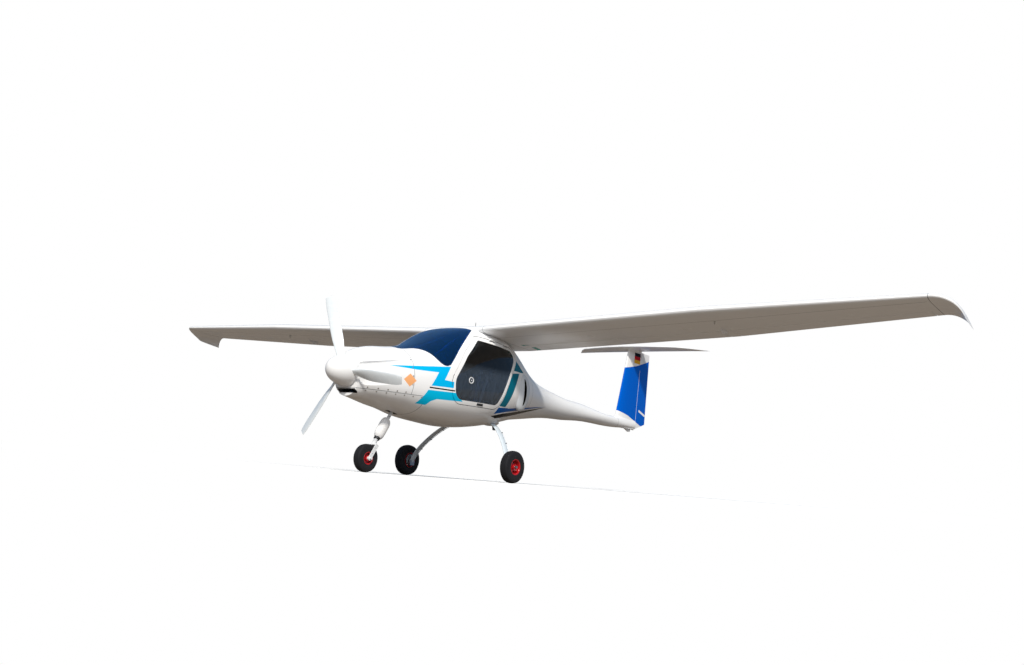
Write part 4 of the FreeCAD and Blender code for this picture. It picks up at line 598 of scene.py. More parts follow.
def piece(name, made, material, body="airframe", slot=None, sharp=35):
    """Make a bmesh a piece that rides on a body; edges over so many degrees stay sharp."""
    bmesh.ops.remove_doubles(made, verts=made.verts, dist=1e-6)
    bmesh.ops.recalc_face_normals(made, faces=made.faces)
    mesh = bpy.data.meshes.new(name)
    made.to_mesh(mesh)
    made.free()
    mesh.materials.append(material)
    mesh.shade_smooth()
    mesh.set_sharp_from_angle(angle=math.radians(sharp))
    thing = bpy.data.objects.new(name, mesh)
    scene.collection.objects.link(thing)
    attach(thing, body)
    if slot:
        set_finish(thing, slot)
    return thing


def turned(made, profile, centre, axis=(1, 0, 0), steps=48):
    """Spin (along, radius) points about an axis through a centre, as a lathe does."""
    aim = Vector((0, 0, 1)).rotation_difference(Vector(axis)).to_matrix().to_4x4()
    line = [made.verts.new((radius, 0, along)) for along, radius in profile]
    edges = [made.edges.new(pair) for pair in zip(line, line[1:])]
    before = set(made.verts) - set(line)
    bmesh.ops.spin(made, geom=line + edges, cent=(0, 0, 0), axis=(0, 0, 1), angle=math.tau,
                   steps=steps, use_merge=True)
    fresh = [vert for vert in made.verts if vert not in before]
    bmesh.ops.transform(made, matrix=Matrix.Translation(Vector(centre)) @ aim, verts=fresh)


def spun_piece(name, profile, centre, axis, steps, material, *riding, **look):
    """A piece that is one lathe shape; riding and look go on to piece()."""
    made = bmesh.new()
    turned(made, profile, centre, axis, steps)
    return piece(name, made, material, *riding, **look)


print("ready: piece, turned and spun_piece")

# %% [markdown]
# What isn't round is a block with rounded edges, a flat sheet made thick, or a bent tube. A tube
# could be a circle extruded along a path, but a curve with a bevel keeps its section square to the
# path by itself, so the tube is a curve first and a mesh after.

# %% Blocks, sheets and tubes


def block(made, size, centre, turn=Matrix(), edge=0.0, segments=2):
    """A block with rounded edges, turned and then set at a centre."""
    shape = Matrix.Translation(Vector(centre)) @ turn @ Matrix.Diagonal((*size, 1))
    fresh = bmesh.ops.create_cube(made, size=1, matrix=shape)["verts"]
    if edge:
        edges = list({line for vert in fresh for line in vert.link_edges})
        bmesh.ops.bevel(made, geom=edges, offset=edge, segments=segments, profile=0.5,
                        affect="EDGES", material=-1)


def slab(made, outline, thick):
    """A flat outline in space made thick along its own normal."""
    face = made.faces.new([made.verts.new(corner) for corner in outline])
    face.normal_update()
    push = face.normal * thick
    grown = bmesh.ops.extrude_face_region(made, geom=[face])["geom"]
    top = [item for item in grown if isinstance(item, bmesh.types.BMVert)]
    bmesh.ops.translate(made, vec=push, verts=top)


def bent_tube(name, points, radius, material, body="airframe", slot=None, smooth=True):
    """A round tube or wire along points, made as a curve and then a mesh."""
    curve = bpy.data.curves.new(name + "_line", "CURVE")
    curve.dimensions = "3D"
    curve.bevel_depth = radius
    curve.bevel_resolution = 3
    curve.use_fill_caps = True
    spline = curve.splines.new("NURBS" if smooth else "POLY")
    spline.points.add(len(points) - 1)
    for point, place in zip(spline.points, points):
        point.co = (*place, 1)
    if smooth:
        spline.order_u = 3
        spline.use_endpoint_u = True
    holder = bpy.data.objects.new(name + "_line", curve)
    made = bmesh.new()
    made.from_mesh(bpy.data.meshes.new_from_object(holder))
    bpy.data.objects.remove(holder)
    return piece(name, made, material, body, slot)


print("ready: block, slab and bent_tube")

# %% [markdown]
# ## Tyres
# A tyre for a light aircraft has no blocks, only grooves that run round it and throw water aside.
# It is a perfect lathe job: one line from bead to bead, with the wall's bulge, the ridge that
# guards the rim, the rounded shoulder and four grooves, is spun about the axle. The line is
# written in shares of the half width and of the wall's height, so the smaller nose tyre uses the
# same one.

# %% Tyre section
TYRE_WALL = [(0.72, 0.004), (0.89, 0.02), (0.955, 0.15), (0.935, 0.19), (0.97, 0.24), (1.0, 0.46),
             (0.985, 0.65), (0.93, 0.79), (0.85, 0.885), (0.78, 0.925)]
GROOVES = (0.50, 0.17)
GROOVE_EDGES = ((0.035, 0), (0.025, 1), (-0.025, 1), (-0.035, 0))
GROOVE_DEEP = 0.05
CROWN_FALL = 0.123


def tyre_section(half_width, outer, rim):
    """The closed section of a tyre as (across, radius) points."""
    side = list(TYRE_WALL)
    for groove in GROOVES:
        for across, deep in GROOVE_EDGES:
            share = groove + across
            side.append((share, 1 - CROWN_FALL * share ** 2 - deep * GROOVE_DEEP))
    whole = side + [(0, 1.0)] + [(-share, height) for share, height in reversed(side)]
    whole.append(whole[0])
    return [(share * half_width, rim + height * (outer - rim)) for share, height in whole]


print("tyre section of", len(tyre_section(1, 2, 1)), "points")

# %% [markdown]
# Rubber for tyres is black with carbon, and dulls to a dark grey where it wears. It is matt, with
# a slight sheen at low angles, and covered in fine pits. Pits of 0.5 mm wouldn't show, so these
# are 4 mm.

# %% Tyre rubber and tyres
rubber = two_tone("tyre_rubber", ("#131318", "#232428"), 4, 0.62, 0.82, 0.2,
                  Specular_IOR_Level=0.25, Sheen_Weight=0.05)

MAIN_AXLE = at(0.777, 2.138, 0.178)
NOSE_AXLE = at(0, 0.643, 0.146)
MAIN_AXLE_RIGHT = MAIN_AXLE * Vector((-1, 1, 1))
MAIN_TYRE, NOSE_TYRE = (0.0524, 0.178), (0.0459, 0.146)
MAIN_RIM, NOSE_RIM = 0.084, 0.062
wheels = [
    ("main_left", MAIN_AXLE, "main_wheel_left", "main_tyre_left", MAIN_TYRE, MAIN_RIM),
    ("main_right", MAIN_AXLE_RIGHT, "main_wheel_right", "main_tyre_right", MAIN_TYRE, MAIN_RIM),
    ("nose", NOSE_AXLE, "nose_wheel", "nose_tyre", NOSE_TYRE, NOSE_RIM),
]
for label, axle, body, node, (half_width, outer), rim in wheels:
    tyre = spun_piece(label + "_tyre", tyre_section(half_width, outer, rim), axle, (1, 0, 0), 72,
                      rubber, body, "tyre_black", sharp=28)
    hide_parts(node)
print("tyres:", len(wheels), "with", len(tyre.data.polygons), "faces each")

# %% [markdown]
# ## Wheel fittings
# Each hub is two pressed halves, held together by a ring of bolts. The rim's lip curls over the
# bead, and a valve stem comes through it. Lathe work again: a lip is a short spun line, and a
# hexagon head is the same spin with only six steps. The bolts are zinc-plated steel, a dull pale
# grey.

# %% Bolts
zinc = two_tone("zinc_plated_steel", ("#A9ABA8", "#D0D1CC"), 3, 0.25, 0.4, 0.05, Metallic=1.0)


def bolt(made, place, axis, radius, height):
    """A hexagon head that stands on a surface, with its edge rounded off."""
    head = [(0, radius), (height * 0.75, radius), (height, radius * 0.82), (height, 0)]
    turned(made, head, place, axis, steps=6)


print("a bolt head has six sides")

# %% [markdown]
# The lip's middle lies where the CAD hub ends, 42 mm out on a main wheel and 37 mm on the nose
# wheel. The bolts stand 6 mm from the hub's middle on both sides, and the valve leans out a
# little.

# %% Rim lips, hub bolts and valves
HUB_FACE = 0.006
RIM_LIP = [(0, -0.006), (0.0035, -0.004), (0.006, 0.001), (0.004, 0.0035), (-0.002, 0.003),
           (0, -0.006)]
VALVE_STEM = [(0, 0.0045), (0.012, 0.004), (0.013, 0.003), (0.020, 0.003), (0.021, 0.0042),
              (0.031, 0.0042), (0.032, 0)]
VALVE_LEAN, VALVE_INSIDE_RIM = 0.25, 0.014
fittings = {"main_left": (0.0425, 5, 0.050), "main_right": (0.0425, 5, 0.050),
            "nose": (0.0373, 4, 0.036)}
for label, axle, body, node, size, rim in wheels:
    lip_out, bolts, ring = fittings[label]
    for end, sign in (("outer", 1), ("inner", -1)):
        spun_piece("%s_rim_lip_%s" % (label, end), [(along, rim + out) for along, out in RIM_LIP],
                   axle + Vector((sign * lip_out, 0, 0)), (sign, 0, 0), 64, enamel, body,
                   "hub_red")
    made = bmesh.new()
    for step in range(bolts):
        turn = math.tau * (step + 0.5) / bolts
        spoke = Vector((0, math.cos(turn), math.sin(turn))) * ring
        for sign in (1, -1):
            bolt(made, axle + spoke + Vector((sign * HUB_FACE, 0, 0)), (sign, 0, 0), 0.0055, 0.005)
    piece(label + "_hub_bolts", made, zinc, body, "steel_grey")
    out = 1 if axle.x >= 0 else -1
    spun_piece(label + "_valve", VALVE_STEM,
               axle + Vector((out * HUB_FACE, 0, rim - VALVE_INSIDE_RIM)), (out, 0, VALVE_LEAN),
               16, moulded, body, "tyre_black")
print("wheel fittings on", len(wheels), "wheels")

# %% [markdown]
# ## Brakes
# The main wheels have disc brakes. The disc turns with the wheel, in the gap between the hub and
# the leg, and the caliper is bolted to the leg and reaches round the disc's lower edge. The disc
# is a lathe line with a hat that reaches back to the hub, and the caliper is three blocks with two
# bolts.

# %% Discs and calipers
BRAKE_DISC = [(-0.050, 0.030), (-0.050, 0.066), (-0.049, 0.067), (-0.047, 0.067), (-0.046, 0.066),
              (-0.046, 0.037), (-0.040, 0.034), (-0.040, 0.030), (-0.050, 0.030)]
CALIPER_IN, CALIPER_DOWN = 0.048, 0.062
CALIPER_CHEEKS = ((-0.0075, 0.006), (0.0075, 0.005))
CALIPER_LONG, CALIPER_HIGH, CALIPER_EDGE = 0.046, 0.030, 0.0015


def caliper_place(sign):
    """The middle of a caliper: where the disc's lowest part runs through it."""
    inward = Vector((-sign * CALIPER_IN, 0, -CALIPER_DOWN))
    return MAIN_AXLE * Vector((sign, 1, 1)) + inward


for side, sign in SIDES:
    spun_piece("brake_disc_" + side, [(sign * along, radius) for along, radius in BRAKE_DISC],
               MAIN_AXLE * Vector((sign, 1, 1)), (1, 0, 0), 64, zinc, "main_wheel_" + side,
               "steel_grey")
    made = bmesh.new()
    low = caliper_place(sign)
    for across, thick in CALIPER_CHEEKS:
        block(made, (thick, CALIPER_LONG, CALIPER_HIGH), low + Vector((sign * across, 0, 0)),
              edge=CALIPER_EDGE)
    block(made, (0.021, CALIPER_LONG, 0.008), low + Vector((0, 0, -0.012)), edge=CALIPER_EDGE)
    for aft in (-0.015, 0.015):
        bolt(made, low + Vector((-sign * 0.010, aft, 0.004)), (-sign, 0, 0), 0.004, 0.004)
    piece("brake_caliper_" + side, made, moulded, slot="control_black")
print("calipers at", [round(v, 3) for v in caliper_place(1)])

# %% [markdown]
# A thin pipe brings the fluid down the back of each leg, held by clips. The leg bends and tapers,
# so its shape is read from its own mesh at a few heights, and the pipe follows it exactly. The
# pipe is painted with the leg. A hexagon nut closes the end of the axle.

# %% Pipes, clips and axle nuts
PIPE_RADIUS, PIPE_STAND_OFF = 0.0032, 0.002
PIPE_HEIGHTS = (0.62, 0.56, 0.50, 0.44, 0.38, 0.32, 0.26, 0.21)
SLICE_HALF = 0.02
PIPE_END = (0.010, 0.02, 0.02)
CLIP_SIZE, CLIP_EDGE = (0.020, 0.010, 0.012), 0.002
NUT_OUT = 0.0552
AXLE_NUT = [(0, 0.0165), (0.010, 0.0165), (0.012, 0.0145), (0.012, 0)]


def back_of(node, height):
    """The middle of a CAD node's rear edge near a height."""
    found = [vert.co for vert in nodes[node].data.vertices
             if height - SLICE_HALF <= vert.co.z <= height + SLICE_HALF]
    acrosses = [co.x for co in found]
    return Vector(((min(acrosses) + max(acrosses)) / 2, max(co.y for co in found), height))


for side, sign in SIDES:
    line = [back_of("main_leg_" + side, height) + Vector((0, PIPE_STAND_OFF, 0))
            for height in PIPE_HEIGHTS]
    line.append(caliper_place(sign) + Vector(PIPE_END) * Vector((-sign, 1, 1)))
    bent_tube("brake_pipe_" + side, line, PIPE_RADIUS, leg_paint, slot="fairing_grey")
    made = bmesh.new()
    for place in line[1:7:2]:
        block(made, CLIP_SIZE, place, edge=CLIP_EDGE)
    piece("pipe_clips_" + side, made, moulded, slot="control_black")
    spun_piece("axle_nut_" + side, AXLE_NUT, MAIN_AXLE * Vector((sign, 1, 1))
               + Vector((sign * NUT_OUT, 0, 0)), (sign, 0, 0), 6, zinc, slot="steel_grey")
print("pipes, clips and nuts on both legs")

# %% [markdown]
# ## Nose gear fittings
# The nose leg leans back, and its fork turns about the leg's own line. Rubber rings under the
# white fairing are the spring, and bolts hold the fork's neck and arms. Everything here sits on
# the steering line, so one helper gives a place on that line from the height along it.

# %% Rings and bolts
STEER_LEAN = math.radians(32.5)
STEER_UP = Vector((0, math.sin(STEER_LEAN), math.cos(STEER_LEAN)))
SPRING_RING = [(-0.006, 0.018), (-0.006, 0.029), (-0.003, 0.0325), (0.003, 0.0325), (0.006, 0.029),
               (0.006, 0.018), (-0.006, 0.018)]
NECK_HALF, ARM_HALF = 0.0217, 0.0600


def on_steering_line(along, across=0.0):
    """A place on the steering line: along it from the axle, and across to the left."""
    return NOSE_AXLE + STEER_UP * along + Vector((across, 0, 0))


made = bmesh.new()
for along in (0.246, 0.264):
    turned(made, SPRING_RING, on_steering_line(along), STEER_UP, steps=40)
piece("nose_spring_rings", made, rubber, "nose_steering", "tyre_black")

made = bmesh.new()
for side in (1, -1):
    bolt(made, on_steering_line(0.228, side * NECK_HALF), (side, 0, 0), 0.006, 0.005)
    for along in (0.060, 0.130):
        bolt(made, on_steering_line(along, side * ARM_HALF), (side, 0, 0), 0.005, 0.004)
piece("nose_fork_bolts", made, zinc, "nose_steering", "steel_grey")
print("nose gear: rings and bolts")

# %% [markdown]
# ## Seats
# The two seats are foam pads in woven cloth that lie in a thin moulded tub. The cloth is a mid
# grey plain weave, a little faded in places. Two wave textures at right angles, multiplied, give
# the weave, and the same weave is the relief. Real threads are 0.6 mm apart; these are 6 mm apart,
# so that the weave can be seen at all.

# %% Seat cloth
WAVE_PERIOD = math.tau / 20  # metres between two crests of a wave texture of scale 1
THREAD_GAP = 0.00592
seat_cloth, tree, surface = new_material("woven_seat_cloth", Specular_IOR_Level=0.2,
                                         Sheen_Weight=0.25, Roughness=0.9)
place = add(tree, "TexCoord").outputs["Object"]
threads = []
for turn in ((0, 0, 0), (0, math.radians(90), 0)):
    laid = add(tree, "Mapping", [("Vector", place), ("Rotation", turn)])
    threads.append(add(tree, "TexWave", [("Vector", laid.outputs[0]), ("Distortion", 0.6),
                                         ("Scale", WAVE_PERIOD / THREAD_GAP)]).outputs["Fac"])
weave = add(tree, "Math", [(0, threads[0]), (1, threads[1])], operation="MULTIPLY")
cloud = add(tree, "TexNoise", [("Vector", place), ("Scale", 9.0), ("Detail", 4.0)])
tone = add(tree, "Mix", [(0, cloud.outputs["Fac"]), (6, linear("#5A6068")),
                         (7, linear("#747B84"))], data_type="RGBA")
dark = add(tree, "MapRange", [("Value", weave.outputs[0]), ("To Min", 0.72), ("To Max", 1.0)])
tone = add(tree, "Mix", [(0, 1.0), (6, tone.outputs[2]), (7, dark.outputs[0])], data_type="RGBA",
           blend_type="MULTIPLY")
tree.links.new(tone.outputs[2], surface.inputs["Base Color"])
relief = add(tree, "Bump", [("Strength", 0.3), ("Distance", 0.0006), ("Height", weave.outputs[0])])
tree.links.new(relief.outputs["Normal"], surface.inputs["Normal"])
print("threads", round(THREAD_GAP * 1000, 1), "mm apart")

# %% [markdown]
# Foam under a tight cover bulges between its seams, and a cloth simulation with a little air
# pressure gives just that bulge. A rounded block, a little smaller than the pad, is remeshed into
# even squares and blown up for twenty frames, and no point may move further than a cap. The sewn
# channels are pressed in afterwards, because the remesh would rub them out.

# %% Padding
SQUARE_SIZE = 0.008
PUFF_FRAMES = 20
PRESSURE = 4
SEAM_DEEP, SEAM_WIDE = 0.009, 0.008
SEAM_REACH, SEAM_ROOM = 0.03, 0.02


def moved_points(thing):
    """The places of a piece's points with its modifiers at work."""
    seen_now = thing.evaluated_get(bpy.context.evaluated_depsgraph_get()).to_mesh()
    return [vert.co.copy() for vert in seen_now.vertices]


def pad(name, made, cap, seams):
    """Blow a closed shape up into a padded piece and press its seams in.

    A seam is a point on it, the direction square to its line, and the direction it is pressed in.
    """
    pad_piece = piece(name, made, seat_cloth, slot="seat_cloth", sharp=180)
    even = pad_piece.modifiers.new("even", "REMESH")
    even.mode = "VOXEL"
    even.voxel_size = SQUARE_SIZE
    shaped = bpy.data.meshes.new_from_object(
        pad_piece.evaluated_get(bpy.context.evaluated_depsgraph_get()))
    pad_piece.modifiers.clear()
    pad_piece.data = shaped
    start = [vert.co.copy() for vert in shaped.vertices]
    cloth = pad_piece.modifiers.new("air", "CLOTH")
    cloth.settings.use_pressure = True
    cloth.settings.uniform_pressure_force = PRESSURE
    cloth.settings.effector_weights.gravity = 0
    cloth.point_cache.frame_start = 1
    cloth.point_cache.frame_end = PUFF_FRAMES
    for number in range(1, PUFF_FRAMES + 1):
        scene.frame_set(number)
    blown = moved_points(pad_piece)
    pad_piece.modifiers.clear()
    scene.frame_set(1)
    for vert, first, last in zip(shaped.vertices, start, blown):
        step = last - first
        if step.length > cap:
            step = step.normalized() * cap
        vert.co = first + step
    shaped.shade_smooth()
    for point, across, push in seams:
        across, push = Vector(across).normalized(), Vector(push).normalized()
        for vert in pad_piece.data.vertices:
            away = (vert.co - point).dot(across)
            if abs(away) < SEAM_REACH and (vert.co - point).dot(push) < SEAM_ROOM:
                vert.co += push * (SEAM_DEEP * math.exp(-(away / SEAM_WIDE) ** 2))
    finer = pad_piece.modifiers.new("finer", "SUBSURF")
    finer.levels = finer.render_levels = 1
    return pad_piece


print("pads in squares of", SQUARE_SIZE * 1000, "mm, blown up for", PUFF_FRAMES, "frames")

# %% [markdown]
# The hull narrows towards its keel, so the outer lower edge of each seat is cut away to its shape.
# Points that would lie outside the inner wall are drawn in, with room left for the foam to swell.
# The back leans, so a helper gives places on its front face.

# %% Places on a seat
SEAT_MIDDLE = 0.245
SEAT_LEAN = math.atan2(0.170, 0.640)
BACK_FOOT_AFT, BACK_FOOT_UP = 2.072, 0.775
WALL_AT_FLOOR, FLOOR_UP, WALL_SLOPE = 0.352, 0.655, 1.15
TAPER_FROM, TAPER_SLOPE = 2.05, 0.5
CABIN_HALF = 0.460


def draw_in(made, spare):
    """Draw the points of a left seat's part in from the hull's inner wall."""
    for vert in made.verts:
        aft = vert.co.y - at(0, TAPER_FROM, 0).y
        wall = WALL_AT_FLOOR + WALL_SLOPE * (vert.co.z - FLOOR_UP) - TAPER_SLOPE * max(0.0, aft)
        vert.co.x = min(vert.co.x, min(CABIN_HALF, wall) - spare)


def on_back(along, across=0.0, behind=0.0):
    """A place on the seat back's front face: up along it, across to the left, and behind it."""
    foot = at(SEAT_MIDDLE + across, BACK_FOOT_AFT, BACK_FOOT_UP)
    up = Vector((0, math.sin(SEAT_LEAN), math.cos(SEAT_LEAN)))
    aft = Vector((0, math.cos(SEAT_LEAN), -math.sin(SEAT_LEAN)))
    return foot + up * along + aft * behind


leaning = Matrix.Rotation(-SEAT_LEAN, 4, "X")
back_in = on_back(0, behind=1) - on_back(0)
back_up = on_back(1) - on_back(0)
print("seat back leans", round(math.degrees(SEAT_LEAN), 1), "degrees")

# %% [markdown]
# The cushion's sides are raised a little to hold the sitter. Cushion and back are each sewn in two
# channels along and two or three across, and the headrest is plain.

# %% Cushion, back pad and headrest
PAD_WIDTH = 0.395
CHANNEL_ACROSS = 0.118
CUSHION_TOP = at(SEAT_MIDDLE, 1.845, 0.760)
BOLSTER_FROM, BOLSTER_UP = 0.10, 0.020

made = bmesh.new()
block(made, (PAD_WIDTH, 0.425, 0.082), at(SEAT_MIDDLE, 1.845, 0.718), edge=0.030, segments=4)
for vert in made.verts:
    if vert.co.z > 0.72:
        over = abs(vert.co.x - SEAT_MIDDLE) - BOLSTER_FROM
        vert.co.z += BOLSTER_UP * max(0.0, over / BOLSTER_FROM)
draw_in(made, 0.016)
down = Vector((0, 0, -1))
seams = [(CUSHION_TOP + Vector((sign * CHANNEL_ACROSS, 0, 0)), (1, 0, 0), down)
         for sign in (1, -1)]
seams += [(CUSHION_TOP + Vector((0, aft, 0)), (0, 1, 0), down) for aft in (-0.09, 0.06)]
cushion = pad("seat_cushion_left", made, 0.018, seams)

made = bmesh.new()
block(made, (PAD_WIDTH, 0.058, 0.455), on_back(0.262, behind=0.045), leaning, edge=0.026,
      segments=4)
draw_in(made, 0.014)
seams = [(on_back(0.262, sign * CHANNEL_ACROSS, 0.015), (1, 0, 0), back_in) for sign in (1, -1)]
seams += [(on_back(along, behind=0.015), back_up, back_in) for along in (0.13, 0.25, 0.37)]
back_pad = pad("seat_back_pad_left", made, 0.016, seams)

made = bmesh.new()
block(made, (0.235, 0.052, 0.105), on_back(0.575, behind=0.050), leaning, edge=0.022, segments=4)
head_pad = pad("headrest_left", made, 0.014, [])
print("pads:", [len(thing.data.polygons) for thing in (cushion, back_pad, head_pad)])

# %% [markdown]
# The tub is one skin of glass fibre that goes under the cushion and up behind the back, with a rim
# turned up ahead of the cushion. A few corners drawn in side view give a strip, which is extruded
# across the seat and then given its thickness.

# %% Seat tub
TUB_INNER, TUB_WIDTH, TUB_THICK = 0.038, 0.414, 0.003
TUB_SIDE_VIEW = [(1.622, 0.700), (1.628, 0.664), (1.650, 0.659), (2.06, 0.659), (2.11, 0.672),
                 (2.150, 0.72)]
TUB_BACK = [(0.05, 0.083), (0.30, 0.084), (0.64, 0.084)]


def skin(made, line, across, thick):
    """A bent sheet: a line in side view, stretched across, then given a thickness."""
    verts = [made.verts.new(place) for place in line]
    edges = [made.edges.new(pair) for pair in zip(verts, verts[1:])]
    grown = bmesh.ops.extrude_edge_only(made, edges=edges)["geom"]
    far = [item for item in grown if isinstance(item, bmesh.types.BMVert)]
    bmesh.ops.translate(made, vec=across, verts=far)
    bmesh.ops.recalc_face_normals(made, faces=made.faces)
    bmesh.ops.solidify(made, geom=list(made.faces), thickness=thick)


made = bmesh.new()
tub_line = [at(TUB_INNER, aft, up) for aft, up in TUB_SIDE_VIEW]
tub_line += [on_back(along, TUB_INNER - SEAT_MIDDLE, behind) for along, behind in TUB_BACK]
skin(made, tub_line, Vector((TUB_WIDTH, 0, 0)), TUB_THICK)
draw_in(made, 0.004)
tub = piece("seat_tub_left", made, moulded, slot="cabin_trim")
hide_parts("seat_left")
print("tub in", len(tub.data.polygons), "faces")

# %% [markdown]
# The right seat is the left one mirrored. A mirrored mesh is turned inside out, and piece() points
# its faces outwards again. The pads keep their finishing modifier.

# %% Right-hand seat


def mirrored(thing, name):
    """The same piece on the other side of the aircraft."""
    made = bmesh.new()
    made.from_mesh(thing.data)
    bmesh.ops.transform(made, matrix=Matrix.Diagonal((-1, 1, 1, 1)), verts=made.verts)
    copy = piece(name, made, thing.data.materials[0], thing["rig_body"], thing.get("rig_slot"),
                 sharp=180 if thing.modifiers else 35)
    for change in thing.modifiers:
        finer = copy.modifiers.new(change.name, change.type)
        finer.levels = finer.render_levels = change.levels
    return copy


for thing, name, fill in ((cushion, "seat_cushion_right", 0.7),
                          (back_pad, "seat_back_pad_right", 0.7),
                          (head_pad, "headrest_right", 0.8), (tub, "seat_tub_right", None)):
    copy = mirrored(thing, name)
    if thing is cushion:
        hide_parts("seat_right")
print("two seats")

# %% [markdown]
# ## Belts
# Each seat has a four-strap harness of woven polyester: two straps come over the back from the
# bulkhead, and two from the sides of the seat, and all meet in a round buckle. Webbing is flat and
# lies on what is under it, so each strap's line is found by looking from in front of the pad, or
# above it, for the first surface there. Two points, extruded along that line, give the band.

# %% Webbing, and a strap along a line
RIB_GAP = 0.00986
STRAP_WIDE, STRAP_THICK = 0.042, 0.0022
webbing, tree, surface = new_material("polyester_webbing", Specular_IOR_Level=0.3,
                                      Sheen_Weight=0.1)
place = wear(tree, surface, 5, 0.6, 0.75, 0.1)[0]
ribs = add(tree, "TexWave", [("Vector", place), ("Scale", WAVE_PERIOD / RIB_GAP),
                             ("Distortion", 0.2)])
tone = add(tree, "Mix", [(0, ribs.outputs["Fac"]), (6, linear("#9AA0A8")), (7, linear("#C2C7CC"))],
           data_type="RGBA")
tree.links.new(tone.outputs[2], surface.inputs["Base Color"])


def resting(pad_skin, start, direction, lift, otherwise):
    """Where a ray first meets a pad, lifted off it; otherwise stands in where it misses."""
    hit = pad_skin.ray_cast(start, direction)[0]
    return otherwise if hit is None else hit - Vector(direction) * lift


def strap(name, line):
    """A band along a line; each entry is a place and the band's direction across itself."""
    long = sum((b[0] - a[0]).length for a, b in zip(line, line[1:]))
    print(name, "is", round(long, 3), "m long")
    made = bmesh.new()
    place, across = line[0]
    ends = [made.verts.new(place + across * half) for half in (-STRAP_WIDE / 2, STRAP_WIDE / 2)]
    edge = made.edges.new(ends)
    for place, across in line[1:]:
        grown = bmesh.ops.extrude_edge_only(made, edges=[edge])["geom"]
        edge = next(item for item in grown if isinstance(item, bmesh.types.BMEdge)
                    and not set(item.verts) & set(ends))
        # the new edge may list its ends in either order, and they still lie on the old ones
        first, second = edge.verts
        if (first.co - ends[0].co).length > (second.co - ends[0].co).length:
            first, second = second, first
        first.co, second.co = place - across * STRAP_WIDE / 2, place + across * STRAP_WIDE / 2
        ends = [first, second]
    bmesh.ops.recalc_face_normals(made, faces=made.faces)
    bmesh.ops.solidify(made, geom=list(made.faces), thickness=STRAP_THICK)
    return piece(name, made, webbing, slot="seat_cloth", sharp=50)


print("webbing", STRAP_WIDE * 1000, "mm wide")

# %% [markdown]
# The shoulder straps start at the bulkhead, come over the seat's back on both sides of the
# headrest, and run down the pad towards each other. The lap straps start at the seat's sides.
# Strap and pad stay 4 mm apart at the strap's middle line, so that its edges don't sink into the
# bulges.

# %% Shoulder and lap straps
STRAP_LIFT = 0.004
side_on, fore_and_aft = Vector((1, 0, 0)), Vector((0, 1, 0))
seen_from = Vector((0, 0, -1))
pad_skins = [BVHTree.FromObject(thing, bpy.context.evaluated_depsgraph_get())
             for thing in (cushion, back_pad)]
buckle_place = resting(pad_skins[0], at(SEAT_MIDDLE, 1.97, 1.0), seen_from, 0.022,
                       at(SEAT_MIDDLE, 1.97, 0.80))
belts = []
for inner, sign in (("inner", -1), ("outer", 1)):
    line = [at(SEAT_MIDDLE + sign * 0.075, 2.405, 1.300),
            at(SEAT_MIDDLE + sign * 0.072, 2.350, 1.290),
            on_back(0.520, sign * 0.070, 0.060), on_back(0.512, sign * 0.069, 0.014)]
    for step in range(9):
        along = 0.47 - 0.05 * step
        across = sign * (0.066 - 0.005 * step)
        line.append(resting(pad_skins[1], on_back(along, across, -0.3), back_in, STRAP_LIFT,
                            on_back(along, across, 0.0)))
    line += [buckle_place + Vector((sign * 0.018, 0.040, 0.010)),
             buckle_place + Vector((sign * 0.010, 0.015, 0.004))]
    belts.append(strap("shoulder_strap_left_" + inner, [(place, side_on) for place in line]))
    line = []
    for step in range(7):
        across = SEAT_MIDDLE + sign * (0.200 - 0.029 * step)
        aft = 2.040 - 0.010 * step
        line.append(resting(pad_skins[0], at(across, aft, 1.0), seen_from, STRAP_LIFT,
                            at(across, aft, 0.79)))
    line.append(buckle_place + Vector((sign * 0.012, 0, 0)))
    belts.append(strap("lap_strap_left_" + inner, [(place, fore_and_aft) for place in line]))
print("straps:", [thing.name for thing in belts])

# %% [markdown]
# The buckle is a turned disc with a raised knob that opens it, in zinc-plated steel. It lies on
# the lap, tipped back a little. Straps and buckle are then mirrored for the right-hand seat.

# %% Buckles, and the right-hand belts
BUCKLE = [(-0.008, 0.026), (-0.006, 0.030), (0.004, 0.030), (0.009, 0.026), (0.010, 0.018),
          (0.016, 0.016), (0.017, 0)]
buckle = spun_piece("belt_buckle_left", BUCKLE, buckle_place, (0, 0.15, 1), 36, zinc,
                    slot="steel_grey")
for thing in belts + [buckle]:
    mirrored(thing, thing.name.replace("_left", "_right"))
print("straps on both seats:", len(belts) * 2)

# %% [markdown]
# ## Instrument panel
# The panel is a painted board that faces the seats. Two wide screens stand in for most dials, with
# a few round ones beside them, a row of switches and some knobs. The screens are off, so they show
# only dark glass with a faint blue coat. A dial is a printed card: its twelve ticks are drawn by
# the angle round the middle of its own UV map, and kept to a ring.

# %% Screen glass and dial cards
glass = two_tone("coated_screen_glass", ("#0A1420", "#16263A"), 200, 0.08, 0.14, 0.005,
                 Coat_Weight=0.4, Coat_Roughness=0.03)

